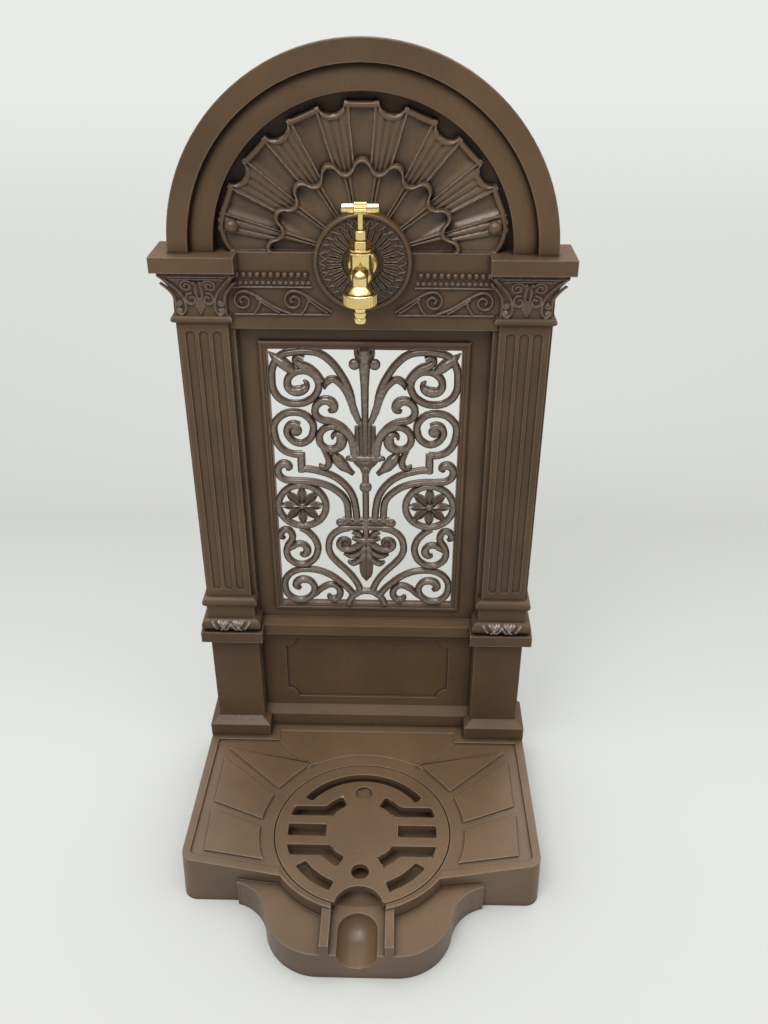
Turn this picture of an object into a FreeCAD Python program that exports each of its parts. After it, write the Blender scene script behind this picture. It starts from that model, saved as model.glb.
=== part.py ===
import FreeCAD, Part

import math
import os
import re

import Sketcher

# Standing garden fountain: a cast back panel with an arched shell niche, two pilasters and a
# scrollwork grille stands on a cast basin with a lift-out grate. A brass bib tap comes out of a
# rosette under the arch. X runs across the fountain, +Y to its back and +Z up; the origin is in
# the middle of its footprint, on the ground. All sizes are millimetres and degrees.

Vector = FreeCAD.Vector
Rotation = FreeCAD.Rotation
Placement = FreeCAD.Placement

doc = FreeCAD.newDocument("standing_fountain")

SIZES = {
    # Overall footprint and the wall of the two large castings
    "overall_depth": 370,
    "casting_wall": 6,
    # Basin outline
    "basin_height": 59,
    "wing_back_inset": 1.25,
    "wing_front_half": 214.5,
    "wing_front_reach": 106,
    "wing_slant": 18,
    "wing_foot_reach": 8.5,
    "wing_corner_radius": 17,
    "boss_radius": 117,
    "boss_rim_width": 3.5,
    "grate_center_reach": 158.5,
    # Sunken wing fields with three raised panels each
    "rim_width": 10,
    "field_sink": 3,
    "field_back_depth": 62,
    "ring_width": 17.5,
    "back_slab_half": 119,
    "back_slab_sink": 1.5,
    "back_slab_margin": 12,
    "field_point_half": 74,
    "field_point_reach": 98.5,
    "wing_toe_half": 93.6,
    # Bowl, grate seat and the front apron with its gutter
    "bowl_radius": 96,
    "bowl_depth": 27,
    "bowl_floor": 5,
    "grate_radius": 107,
    "grate_clearance": 1,
    "grate_thickness": 8,
    "apron_drop": 19,
    "apron_tip_half": 146,
    "apron_tip_reach": 92,
    "apron_nose_radius": 65,
    "apron_nose_angle": 75,
    "apron_hollow_radius": 52,
    "apron_front_half": 44,
    "rib_inner_half": 31,
    "rib_thickness": 10,
    "gutter_radius": 22.5,
    "gutter_length": 54,
    # Grate slots, measured from the grate's centre
    "hub_radius": 44,
    "slot_tip_radius": 60,
    "slot_tip_angle": 63,
    "slot_end": 93,
    "slot_low": 22.5,
    "slot_high": 37.5,
    "mid_slot_half": 9,
    "back_slot_inner": 79.5,
    "back_slot_outer": 91,
    "back_slot_angle": 35,
    "front_slot_inner": 80,
    "front_slot_outer": 93.5,
    "front_slot_start": 35,
    "front_slot_end": 68,
    "finger_hole_radius": 10.4,
    "finger_hole_reach": 60,
    "dimple_depth": 5,
    "notch_half": 28.5,
    "notch_reach": 80,
    # Pilaster stack, from the basin's top upwards
    "panel_depth": 42,
    "plinth_height": 19,
    "plinth_slope": 8,
    "pedestal_height": 133.5,
    "cap_height": 15.5,
    "foot_height": 49.5,
    "shaft_height": 346.5,
    "capital_height": 72,
    "abacus_height": 16.5,
    "pilaster_center": 172,
    "shaft_width": 54.5,
    "strip_inner": 6,
    "strip_outer": 3,
    "strip_setback": 7,
    "pedestal_reach": 2,
    "pedestal_inner_reach": 5,
    "plinth_reach": 13,
    "cap_reach": 12,
    "abacus_reach": 19,
    "abacus_inner_reach": 14,
    "lower_torus_reach": 8,
    "lower_torus_height": 18,
    "upper_torus_reach": 5.5,
    "upper_torus_height": 14,
    "scotia_reach": 3,
    "neck_torus_reach": 4.5,
    "neck_torus_height": 8,
    "bell_reach": 13,
    "bell_height": 50,
    "bell_start_reach": 1,
    "bell_fillet": 5,
    "flute_width": 10,
    "flute_pitch": 14.5,
    "flute_depth": 2,
    "flute_end_gap": 9,
    # Middle of the panel
    "field_setback": 20,
    "field_plate": 6,
    "band_setback": 4,
    "band_height": 83,
    "sill_setback": 6,
    "sill_slope": 5,
    "mid_plinth_setback": 10,
    "notch_panel_half": 108,
    "notch_panel_height": 100,
    "notch_panel_depth": 3,
    "notch_corner": 14,
    # Arch and shell niche
    "arch_radius": 200,
    "arch_reach": 5,
    "fascia_width": 21,
    "fascia_step": 9,
    "arch_rim_thickness": 10,
    "cove_inner_radius": 154,
    "cove_lift": 3,
    "cove_radius": 40,
    "niche_depth": 25,
    "shell_thickness": 15,
    "shell_radius": 152,
    "shell_bite": 9,
    "shell_pitch": 22.3,
    "shell_lobe_angle": 12,
    "fan_radius": 98,
    "fan_bite": 14,
    "fan_rise": 3,
    "flute_start_radius": 5,
    "flute_end_radius": 15,
    "flute_lift": 5,
    # Window and its grille
    "window_half": 107.5,
    "window_height": 345,
    "window_sill_gap": 28.5,
    "grille_frame": 9.5,
    "grille_thickness": 6,
    "bar_width": 7,
    "stud_radius": 2,
    "stud_end": 5,
    "stud_from_end": 27.6,
    "stud_nut_across": 7,
    "stud_nut_thickness": 3.2,
    # Bolts between panel and basin
    "bolt_radius": 4,
    "bolt_reach": 20,
    "bolt_bore_depth": 22,
    "bolt_boss_height": 26,
    "bolt_spacing": 30,
    "bolt_from_back": 20,
    "bolt_head_across": 13,
    "bolt_head": 5.3,
    "bolt_boss_radius": 9,
    "washer_radius": 8,
    "washer_thickness": 1.6,
    "hole_clearance": 0.5,
    "thread_clearance": 0.05,
    # Rosette round the tap
    "tap_drop": 8,
    "rosette_radius": 51,
    "rosette_thickness": 12,
    "rosette_rim": 5,
    "rosette_edge": 7,
    "rosette_dish": 3,
    "rosette_hub_radius": 20.5,
    "rosette_hub_depth": 6,
    "rosette_seat_radius": 45,
    "rosette_seat_thickness": 8,
    # Tap body
    "shank_radius": 10.48,
    "inlet_thread_radius": 9.9,
    "shank_tail": 24,
    "spindle_reach": 43,
    "spout_reach": 23,
    "body_radius": 12.5,
    "body_tube_radius": 11.5,
    "neck_radius": 10.25,
    "neck_height": 24,
    "lip_radius": 12.6,
    "lip_height": 2,
    "inlet_bore": 5.5,
    "seat_bore": 4.5,
    "seat_height": 2,
    "chamber_radius": 7.8,
    "spout_radius": 7.75,
    "spout_rise": 4,
    "spout_bore": 4.2,
    "outlet_bore": 5,
    "spout_drop": 17,
    "spout_thread_radius": 13.1,
    "spout_thread_length": 8,
    "spout_flare": 6,
    "flange_radius": 17,
    "flange_depth": 12,
    "flange_base": 5.5,
    "flange_wall": 2,
    "locknut_across": 30,
    "locknut_thickness": 6,
    "locknut_washer_radius": 16,
    "locknut_washer_thickness": 2.5,
    # Headwork: bonnet, gland, spindle, jumper and handle
    "running_clearance": 0.06,
    "edge_chamfer": 0.8,
    "bonnet_washer_thickness": 1.2,
    "bonnet_spigot": 11,
    "bonnet_collar": 1.6,
    "bonnet_hex_across": 17.5,
    "bonnet_hex_height": 8,
    "gland_neck_radius": 5,
    "gland_neck_height": 4,
    "gland_radius": 6,
    "gland_height": 9.5,
    "gland_top": 2.5,
    "spindle_thread_radius": 4.5,
    "spindle_thread_length": 15,
    "spindle_radius": 2.8,
    "handle_height": 65,
    "handle_radius": 5,
    "handle_length": 36.5,
    "handle_grip_length": 12.5,
    "handle_grip_radius": 4.7,
    "jumper_washer_radius": 6.4,
    "jumper_washer_thickness": 2.5,
    "jumper_radius": 6.8,
    "jumper_thickness": 2.5,
    "jumper_stem_radius": 2.2,
    "jumper_stem_length": 9,
    "stem_end_gap": 0.5,
    # Hose union
    "union_washer_thickness": 1.6,
    "union_washer_bore": 6,
    "union_nut_radius": 16,
    "union_nut_height": 12,
    "union_nut_lip": 2,
    "tail_flange": 1.6,
    "tail_flange_radius": 12.6,
    "tail_collar_radius": 7.2,
    "tail_collar_end": 1,
    "tail_neck_radius": 6,
    "tail_barb_radius": 6.8,
    "tail_barb_land": 2,
    "tail_bore": 4.5,
    "tail_length": 21,
    "tail_barbs": 3,
}

# Places worked out from the sizes
PLACES = {
    "panel_back": "overall_depth / 2",
    "basin_front": "-overall_depth / 2",
    "shaft_face": "panel_back - panel_depth",
    "field_face": "shaft_face + field_setback",
    "field_rear": "field_face + field_plate",
    "band_face": "shaft_face + band_setback",
    "sill_face": "shaft_face + sill_setback",
    "mid_plinth_face": "shaft_face + mid_plinth_setback",
    "arch_face": "shaft_face - arch_reach",
    "niche_face": "arch_face + niche_depth",
    "shell_face": "niche_face - shell_thickness",
    "apron_top": "basin_height - apron_drop",
    "field_level": "basin_height - field_sink",
    "grate_seat": "field_level - grate_thickness",
    "seat_radius": "grate_radius + grate_clearance",
    "bowl_bottom": "basin_height - bowl_depth",
    "grate_y": "basin_front + grate_center_reach",
    "wing_front": "basin_front + wing_front_reach",
    "wing_back_half": "pilaster_center + shaft_width / 2 + plinth_reach - wing_back_inset",
    "plinth_top": "basin_height + plinth_height",
    "pedestal_bottom": "plinth_top + plinth_slope",
    "cap_bottom": "pedestal_bottom + pedestal_height",
    "cap_top": "cap_bottom + cap_height",
    "shaft_bottom": "cap_top + foot_height",
    "shaft_top": "shaft_bottom + shaft_height",
    "abacus_bottom": "shaft_top + capital_height",
    "arch_base": "abacus_bottom + abacus_height",
    "band_bottom": "arch_base - band_height",
    "shaft_in": "pilaster_center - shaft_width / 2",
    "shaft_out": "pilaster_center + shaft_width / 2",
    "strip_in": "shaft_in - strip_inner",
    "strip_out": "shaft_out + strip_outer",
    "window_bottom": "cap_top + window_sill_gap",
    "window_top": "window_bottom + window_height",
    "tap_z": "arch_base - tap_drop",
    "rosette_face": "band_face - rosette_thickness",
    "hub_floor": "rosette_face + rosette_hub_depth",
    "flange_face": "hub_floor - flange_depth",
    "seat_rear": "band_face + rosette_seat_thickness",
    "locknut_start": "seat_rear + locknut_washer_thickness",
    "locknut_end": "locknut_start + locknut_thickness",
    "shank_end": "seat_rear + shank_tail",
    "spindle_y": "hub_floor - spindle_reach",
    "spout_y": "spindle_y - spout_reach",
    "neck_top": "tap_z + neck_height",
    "bonnet_bottom": "neck_top + bonnet_washer_thickness",
    "hex_bottom": "bonnet_bottom + bonnet_collar",
    "hex_top": "hex_bottom + bonnet_hex_height",
    "gland_neck_top": "hex_top + gland_neck_height",
    "gland_roof": "hex_top + gland_height - gland_top",
    "valve_seat": "tap_z + seat_height",
    "jumper_bottom": "valve_seat + jumper_washer_thickness",
    "jumper_top": "jumper_bottom + jumper_thickness",
    "stem_bore": "spindle_radius + running_clearance",
    "handle_z": "tap_z + handle_height",
    "spout_end": "tap_z - spout_drop",
    "tail_top": "spout_end - union_washer_thickness",
    "nut_bottom": "tail_top - tail_flange - union_nut_lip",
}


def bound(text, own_sheet=""):
    """Names the sheet of every size or place in an expression."""

    def with_sheet(match):
        word = match.group(0)
        if word in SIZES:
            return f"Sizes.{word}"
        if word in PLACES and own_sheet != "Places":
            return f"Places.{word}"
        return word

    return re.sub(r"[a-z_][a-z0-9_]*", with_sheet, text)


def fill_sheet(name, cells):
    sheet = doc.addObject("Spreadsheet::Sheet", name)
    for row, (alias, text) in enumerate(cells.items(), start=1):
        sheet.set(f"A{row}", alias)
        sheet.set(f"B{row}", text)
        sheet.setAlias(f"B{row}", alias)
    return sheet


sizes = fill_sheet("Sizes", {alias: str(value) for alias, value in SIZES.items()})
fill_sheet("Places", {alias: "=" + bound(formula, "Places") for alias, formula in PLACES.items()})
doc.recompute()


def number(text):
    return float(sizes.evalExpression(bound(text)))


# Ways to make the solids

ALONG = {
    "x": Rotation(Vector(0, 1, 0), 90),
    "y": Rotation(Vector(1, 0, 0), -90),
    "z": Rotation(),
}
PLANES = {
    "xy": ("z", Rotation(), Vector(0, 0, 1)),
    "xz": ("y", Rotation(Vector(1, 0, 0), 90), Vector(0, 1, 0)),
    "yz": ("x", Rotation(Vector(0, 1, 0), Vector(0, 0, 1), Vector(1, 0, 0)), Vector(1, 0, 0)),
}


def put(thing, x="0", y="0", z="0", rotation=Rotation()):
    """Sets a thing's turn, and binds its place to the sheets."""
    thing.Placement = Placement(Vector(), rotation)
    for axis, text in (("x", x), ("y", y), ("z", z)):
        thing.setExpression(f"Placement.Base.{axis}", bound(text))


def block(label, x_span, y_span, z_span):
    box = doc.addObject("Part::Box", label)
    for side, (low, high) in zip(("Length", "Width", "Height"), (x_span, y_span, z_span)):
        box.setExpression(side, bound(f"({high}) - ({low})"))
    put(box, x_span[0], y_span[0], z_span[0])
    return box


def rod(label, axis, radius, span, **place):
    """A cylinder along an axis, from the low end of the span to its high end."""
    cylinder = doc.addObject("Part::Cylinder", label)
    cylinder.setExpression("Radius", bound(radius))
    cylinder.setExpression("Height", bound(f"({span[1]}) - ({span[0]})"))
    put(cylinder, **{**place, axis: span[0]}, rotation=ALONG[axis])
    return cylinder


def ball(label, radius, **place):
    sphere = doc.addObject("Part::Sphere", label)
    sphere.setExpression("Radius", bound(radius))
    put(sphere, **place)
    return sphere


def hexagon(label, axis, across, span, **place):
    prism = doc.addObject("Part::Prism", label)
    prism.Polygon = 6
    prism.setExpression("Circumradius", bound(f"({across}) / sqrt(3)"))
    prism.setExpression("Height", bound(f"({span[1]}) - ({span[0]})"))
    put(prism, **{**place, axis: span[0]}, rotation=ALONG[axis])
    return prism


def arc_between(start, end, radius):
    """The shorter arc between two points. A positive radius has its centre on the left."""
    chord = end - start
    left = Vector(-chord.y, chord.x, 0).normalize()
    reach = math.sqrt(max(radius * radius - chord.Length ** 2 / 4, 0))
    center = (start + end) * 0.5 + left * math.copysign(reach, radius)
    angles = [math.atan2(point.y - center.y, point.x - center.x) for point in (start, end)]
    if radius < 0:
        angles.reverse()
    return Part.ArcOfCircle(Part.Circle(center, Vector(0, 0, 1), abs(radius)), *angles)


def draw(sketch, corners):
    """Draws a closed outline. A corner is two expressions, and a third one where the stretch that
    comes to it is an arc: its radius, negative if the arc's centre is on the right."""
    points = [Vector(number(corner[0]), number(corner[1]), 0) for corner in corners]
    stretches = []
    ends = []
    locks = []
    for index, corner in enumerate(corners):
        start, end = points[index - 1], points[index]
        if len(corner) == 2:
            stretches.append(Part.LineSegment(start, end))
            ends.append((1, 2))
            continue
        radius = number(corner[2])
        stretches.append(arc_between(start, end, radius))
        ends.append((1, 2) if radius > 0 else (2, 1))
        formula = corner[2] if radius > 0 else f"-({corner[2]})"
        locks.append((Sketcher.Constraint("Radius", index, abs(radius)), formula))
    for index, corner in enumerate(corners):
        following = (index + 1) % len(corners)
        meet = Sketcher.Constraint("Coincident", index, ends[index][1], following, ends[following][0])
        locks.append((meet, None))
        locks += corner_locks(index, ends[index][1], corner, points[index])
    sketch.addGeometry(stretches)
    sketch.addConstraint([lock for lock, _ in locks])
    for index, (_, formula) in enumerate(locks):
        if formula:
            sketch.setExpression(f"Constraints[{index}]", bound(formula))


def corner_locks(stretch, finish, corner, point):
    """Ties a corner's two coordinates to the sheets, as distances from the sketch's origin."""
    locks = []
    for kind, axis_line, text, value in (
        ("DistanceX", -2, corner[0], point.x),
        ("DistanceY", -1, corner[1], point.y),
    ):
        if abs(value) < 1e-9:
            locks.append((Sketcher.Constraint("PointOnObject", stretch, finish, axis_line), None))
        elif value > 0:
            locks.append((Sketcher.Constraint(kind, -1, 1, stretch, finish, value), text))
        else:
            locks.append((Sketcher.Constraint(kind, stretch, finish, -1, 1, -value), f"-({text})"))
    return locks


def slab(label, plane, corners, span):
    """An outline drawn in a plane and extruded over a span square to it."""
    axis, rotation, direction = PLANES[plane]
    sketch = doc.addObject("Sketcher::SketchObject", f"{label}_outline")
    draw(sketch, corners)
    put(sketch, **{axis: span[0]}, rotation=rotation)
    extrusion = doc.addObject("Part::Extrusion", label)
    extrusion.Base = sketch
    extrusion.DirMode = "Custom"
    extrusion.Dir = direction
    extrusion.Solid = True
    extrusion.setExpression("LengthFwd", bound(f"({span[1]}) - ({span[0]})"))
    return extrusion


def lofted(label, low_corners, high_corners, span):
    """A solid whose plan changes from one outline at its foot to another at its top."""
    sections = []
    for name, corners, height in (("foot", low_corners, span[0]), ("top", high_corners, span[1])):
        sketch = doc.addObject("Sketcher::SketchObject", f"{label}_{name}")
        draw(sketch, corners)
        put(sketch, z=height)
        sections.append(sketch)
    loft = doc.addObject("Part::Loft", label)
    loft.Sections = sections
    loft.Solid = True
    loft.Ruled = True
    return loft


def turned(label, profile, axis="z", **place):
    """A body turned about an axis. The profile's corners are radius and height along the axis."""
    body = doc.addObject("PartDesign::Body", label)
    sketch = body.newObject("Sketcher::SketchObject", f"{label}_profile")
    side = [plane for plane in body.Origin.OriginFeatures if plane.Role == "XZ_Plane"]
    sketch.AttachmentSupport = [(side[0], "")]
    sketch.MapMode = "FlatFace"
    draw(sketch, profile)
    turn = body.newObject("PartDesign::Revolution", f"{label}_turn")
    turn.Profile = sketch
    turn.ReferenceAxis = (sketch, ["V_Axis"])
    turn.Angle = 360
    put(body, **place, rotation=ALONG[axis])
    return body


def fuse(label, *pieces):
    joined = doc.addObject("Part::MultiFuse", label)
    joined.Shapes = list(pieces)
    joined.Refine = True
    return joined


def cut(label, base, *tools):
    result = doc.addObject("Part::Cut", label)
    result.Base = base
    result.Tool = tools[0] if len(tools) == 1 else fuse(f"{label}_tools", *tools)
    result.Refine = True
    return result


def shared(label, *pieces):
    result = doc.addObject("Part::MultiCommon", label)
    result.Shapes = list(pieces)
    result.Refine = True
    return result


def mirrored(label, source):
    mirror = doc.addObject("Part::Mirroring", label)
    mirror.Source = source
    mirror.Normal = Vector(1, 0, 0)
    return mirror


def both_sides(label, half):
    return fuse(label, half, mirrored(f"{label}_left", half))


def polar(radius, angle):
    """A corner at a radius and an angle, as two expressions."""
    return f"({radius}) * cos({angle})", f"({radius}) * sin({angle})"


# Basin: one casting, open below, with two wings, a round boss for the grate and a front apron

def wing_outline(toe, front, inset="0"):
    """The right half of the wings in plan, drawn in from its edges by an inset. The front edge runs
    from the toe, beside the boss, to the rounded corner."""
    return [
        ("0", f"panel_back - ({inset})"),
        ("0", f"{toe} + ({inset})"),
        ("wing_toe_half", f"{toe} + ({inset})"),
        ("wing_front_half - wing_corner_radius", f"{front} + ({inset})"),
        (
            f"wing_front_half - ({inset})",
            f"{front} + wing_corner_radius",
            f"wing_corner_radius - ({inset})",
        ),
        (f"wing_back_half - ({inset})", f"panel_back - ({inset})"),
    ]


def apron_outline(inset):
    """The right half of the apron in plan: a hollow curve from the wing, then a round nose."""
    front = f"basin_front + ({inset})"
    return [
        ("0", "wing_front + wing_slant"),
        ("0", front),
        ("apron_front_half", front),
        (
            f"apron_front_half + (apron_nose_radius - ({inset})) * sin(apron_nose_angle)",
            f"basin_front + apron_nose_radius - (apron_nose_radius - ({inset})) * cos(apron_nose_angle)",
            f"apron_nose_radius - ({inset})",
        ),
        (
            f"apron_tip_half - ({inset})",
            "basin_front + apron_tip_reach",
            f"-(apron_hollow_radius + ({inset}))",
        ),
        ("apron_tip_half", "wing_front + wing_slant"),
    ]


# Corners of the raised panels of the right wing, from the grate's centre
RAISED_PANELS = {
    "raised_corner": [(185.5, 133), (70.5, 110.5), (110, 63)],
    "raised_middle": [(188, 115), (115, 52.5), (124.5, 13), (189, 40)],
    "raised_front": [(190.5, 27), (124.5, 2), (115, -48.5), (188.5, -36)],
}


def wing_field():
    """The sunken floor of the right wing, round the grate and behind it, without the raised panels."""
    span = ("field_level", "basin_height + 1")
    back = "panel_back - field_back_depth"
    front = "wing_front + rim_width"
    field = slab("wing_field_plan", "xy", [
        ("back_slab_half", back),
        ("field_point_half", "grate_y + field_point_reach"),
        ("bowl_radius", "grate_y"),
        ("bowl_radius", front),
        ("wing_front_half - wing_corner_radius", front),
        ("wing_front_half - rim_width", "wing_front + wing_corner_radius", "wing_corner_radius - rim_width"),
        ("wing_back_half - rim_width", back),
    ], span)
    ring = rod("field_ring", "z", "seat_radius + ring_width", span, y="grate_y")
    behind_rim = block("field_behind_rim", ("0", "wing_front_half"), (front, "panel_back"), span)
    ring_floor = shared("ring_floor", ring, behind_rim)
    boss_floor = rod("boss_floor", "z", "boss_radius - boss_rim_width", span, y="grate_y")
    slab_back = "mid_plinth_face - back_slab_margin"
    back_floor = slab("back_floor", "xy", [
        ("0", slab_back),
        ("0", "grate_y + seat_radius"),
        ("field_point_half", "grate_y + seat_radius"),
        ("field_point_half", "grate_y + field_point_reach"),
        ("back_slab_half", back),
        ("back_slab_half", slab_back),
    ], ("basin_height - back_slab_sink", "basin_height + 1"))
    panels = [
        cut(name, slab(f"{name}_plan", "xy", [(str(x), f"grate_y + {y}") for x, y in corners], span), ring)
        for name, corners in RAISED_PANELS.items()
    ]
    return cut("wing_field", fuse("sunken_floor", field, ring_floor, boss_floor, back_floor), *panels)


def make_basin():
    top = "basin_height"
    foot_front = "wing_front - wing_foot_reach"
    wings = lofted(
        "basin_wings",
        wing_outline(foot_front, foot_front),
        wing_outline("wing_front - wing_slant", "wing_front"),
        ("0", top),
    )
    apron = slab("basin_apron", "xy", apron_outline("0"), ("0", "apron_top"))
    half_space = block("basin_right", ("0", "overall_depth"), ("basin_front", "panel_back"), ("0", top))
    boss = shared("basin_boss", rod("boss_round", "z", "boss_radius", ("0", top), y="grate_y"), half_space)
    rib = block(
        "basin_rib",
        ("rib_inner_half", "rib_inner_half + rib_thickness"),
        ("basin_front", "grate_y - bowl_radius"),
        ("apron_top - 1", "field_level"),
    )
    solid = fuse("basin_solid", wings, apron, boss, rib)
    deck = f"{top} - casting_wall"
    under = fuse(
        "basin_under",
        slab("under_wings", "xy", wing_outline("wing_front", "wing_front", "casting_wall"), ("-1", deck)),
        slab("under_apron", "xy", apron_outline("casting_wall"), ("-1", "apron_top - casting_wall")),
    )
    bowl_wall = rod(
        "bowl_wall", "z", "bowl_radius + casting_wall", ("bowl_bottom - bowl_floor", top), y="grate_y"
    )
    seat_wall = rod(
        "seat_wall", "z", "boss_radius", ("grate_seat - casting_wall", top), y="grate_y"
    )
    gutter_wall = rod(
        "gutter_wall", "y", "gutter_radius + casting_wall", ("basin_front", "grate_y"), z="apron_top"
    )
    hollow = cut("basin_hollow", under, bowl_wall, seat_wall, gutter_wall)
    bowl = rod("bowl", "z", "bowl_radius", ("bowl_bottom", f"{top} + 1"), y="grate_y")
    seat = rod("grate_recess", "z", "seat_radius", ("grate_seat", f"{top} + 1"), y="grate_y")
    channel = block(
        "channel",
        ("-1", "rib_inner_half"),
        ("basin_front - 1", "grate_y - bowl_radius + rib_thickness"),
        ("apron_top", f"{top} + 1"),
    )
    gutter_end = "basin_front + gutter_length - gutter_radius"
    gutter = rod("gutter", "y", "gutter_radius", ("basin_front - 1", gutter_end), z="apron_top")
    gutter_round = ball("gutter_round", "gutter_radius", y=gutter_end, z="apron_top")
    bolt_holes = [
        rod(f"deck_hole_{name}", "z", "bolt_radius + hole_clearance", ("0", f"{top} + 1"),
            x=f"pilaster_center {sign} bolt_spacing / 2", y="panel_back - bolt_from_back")
        for name, sign in (("inner", "-"), ("outer", "+"))
    ]
    water_ways = [bowl, seat, channel, gutter, gutter_round]
    half = cut("basin_half", solid, hollow, wing_field(), *water_ways, *bolt_holes)
    return both_sides("basin", half)


# Grate: a round cast plate that lies in the boss, with water slots, a finger hole and a front notch

def annular_slot(label, inner, outer, start, end, span):
    return slab(label, "xy", [
        polar(outer, start),
        polar(outer, end) + (outer,),
        polar(inner, end),
        polar(inner, start) + (f"-({inner})",),
    ], span)


def hooked_slot(label, side):
    """A straight slot that turns along the hub; side is + for the back one and - for the front."""
    turn = "1 * " if side == "+" else "-1 * "
    span = ("grate_seat - 1", "field_level + 1")
    low, high = f"{side} slot_low", f"{side} slot_high"
    tip = f"{side} slot_tip_angle"
    return slab(label, "xy", [
        ("sqrt(slot_end * slot_end - slot_high * slot_high)", high),
        ("sqrt(slot_end * slot_end - slot_low * slot_low)", low, f"-{turn}(slot_end)"),
        ("sqrt(hub_radius * hub_radius - slot_low * slot_low)", low),
        polar("hub_radius", tip) + (f"{turn}(hub_radius)",),
        polar("slot_tip_radius", tip),
        (
            "sqrt(slot_tip_radius * slot_tip_radius - slot_high * slot_high)",
            high,
            f"-{turn}(slot_tip_radius)",
        ),
    ], span)


def make_grate():
    span = ("grate_seat - 1", "field_level + 1")
    plate = rod("grate_plate", "z", "grate_radius", ("grate_seat", "field_level"))
    slots = [
        hooked_slot("back_hook_slot", "+"),
        hooked_slot("front_hook_slot", "-"),
        block("side_slot", ("hub_radius", "slot_end - 2"), ("-mid_slot_half", "mid_slot_half"), span),
        annular_slot("front_arc_slot", "front_slot_inner", "front_slot_outer",
                     "-front_slot_end", "-front_slot_start", span),
    ]
    slots += [mirrored(f"{slot.Label}_left", slot) for slot in slots]
    notch_end = "-notch_reach - notch_half"
    cuts = slots + [
        annular_slot("back_arc_slot_right", "back_slot_inner", "back_slot_outer",
                     "back_slot_angle", "90", span),
        annular_slot("back_arc_slot_left", "back_slot_inner", "back_slot_outer",
                     "90", "180 - back_slot_angle", span),
        rod("finger_hole", "z", "finger_hole_radius", span, y="-finger_hole_reach"),
        rod("finger_dimple", "z", "finger_hole_radius", ("field_level - dimple_depth", "field_level + 1"),
            y="finger_hole_reach"),
        rod("notch_round", "z", "notch_half", span, y=notch_end),
        block("notch_straight", ("-notch_half", "notch_half"), ("-grate_radius * 1.2", notch_end), span),
    ]
    grate = cut("grate", plate, *cuts)
    put(grate, y="grate_y")
    return grate


# Back panel: one casting, hollow behind, drawn as its right half

# Radius of a round end or moulding, as a share of its width
ROUND_SHARE = "0.52"


def stepped(label, levels, depth_back):
    """A moulding that returns round a pilaster: the part shared by its front and side profiles.
    A level is a reach past the shaft, a height and, for a curved stretch, the radius to it."""
    front = [(f"shaft_face - ({reach})", height) + tuple(curve) for reach, height, *curve in levels]
    front += [(depth_back, levels[-1][1]), (depth_back, levels[0][1])]
    outer = [(f"shaft_out + ({reach})", height) + tuple(f"-({c})" for c in curve)
             for reach, height, *curve in levels]
    inner = [(f"shaft_in - ({reach})", height) for reach, height, *curve in levels]
    curves = [curve for _, _, *curve in levels]
    inner_back = []
    for index in range(len(levels) - 1, -1, -1):
        arrival = curves[index + 1] if index + 1 < len(levels) else []
        inner_back.append(inner[index] + tuple(f"-({c})" for c in arrival))
    wide = slab(f"{label}_front", "yz", front, ("strip_in - abacus_reach", "shaft_out + abacus_reach"))
    deep = slab(f"{label}_sides", "xz", outer + inner_back, (f"shaft_face - abacus_reach", depth_back))
    return shared(label, wide, deep)


def reached(label, reach, inner_reach, z_span):
    """A plain square block that stands out past the shaft."""
    return block(
        label,
        (f"shaft_in - ({inner_reach})", f"shaft_out + ({reach})"),
        (f"shaft_face - ({reach})", "panel_back"),
        z_span,
    )


def torus(name, low, high):
    """Two levels of a round moulding: its arc runs between them, a little flatter than a half circle."""
    reach = f"{name}_reach - {name}_height / 4"
    return [(reach, low), (reach, high, f"-({name}_height * {ROUND_SHARE})")]


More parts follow.
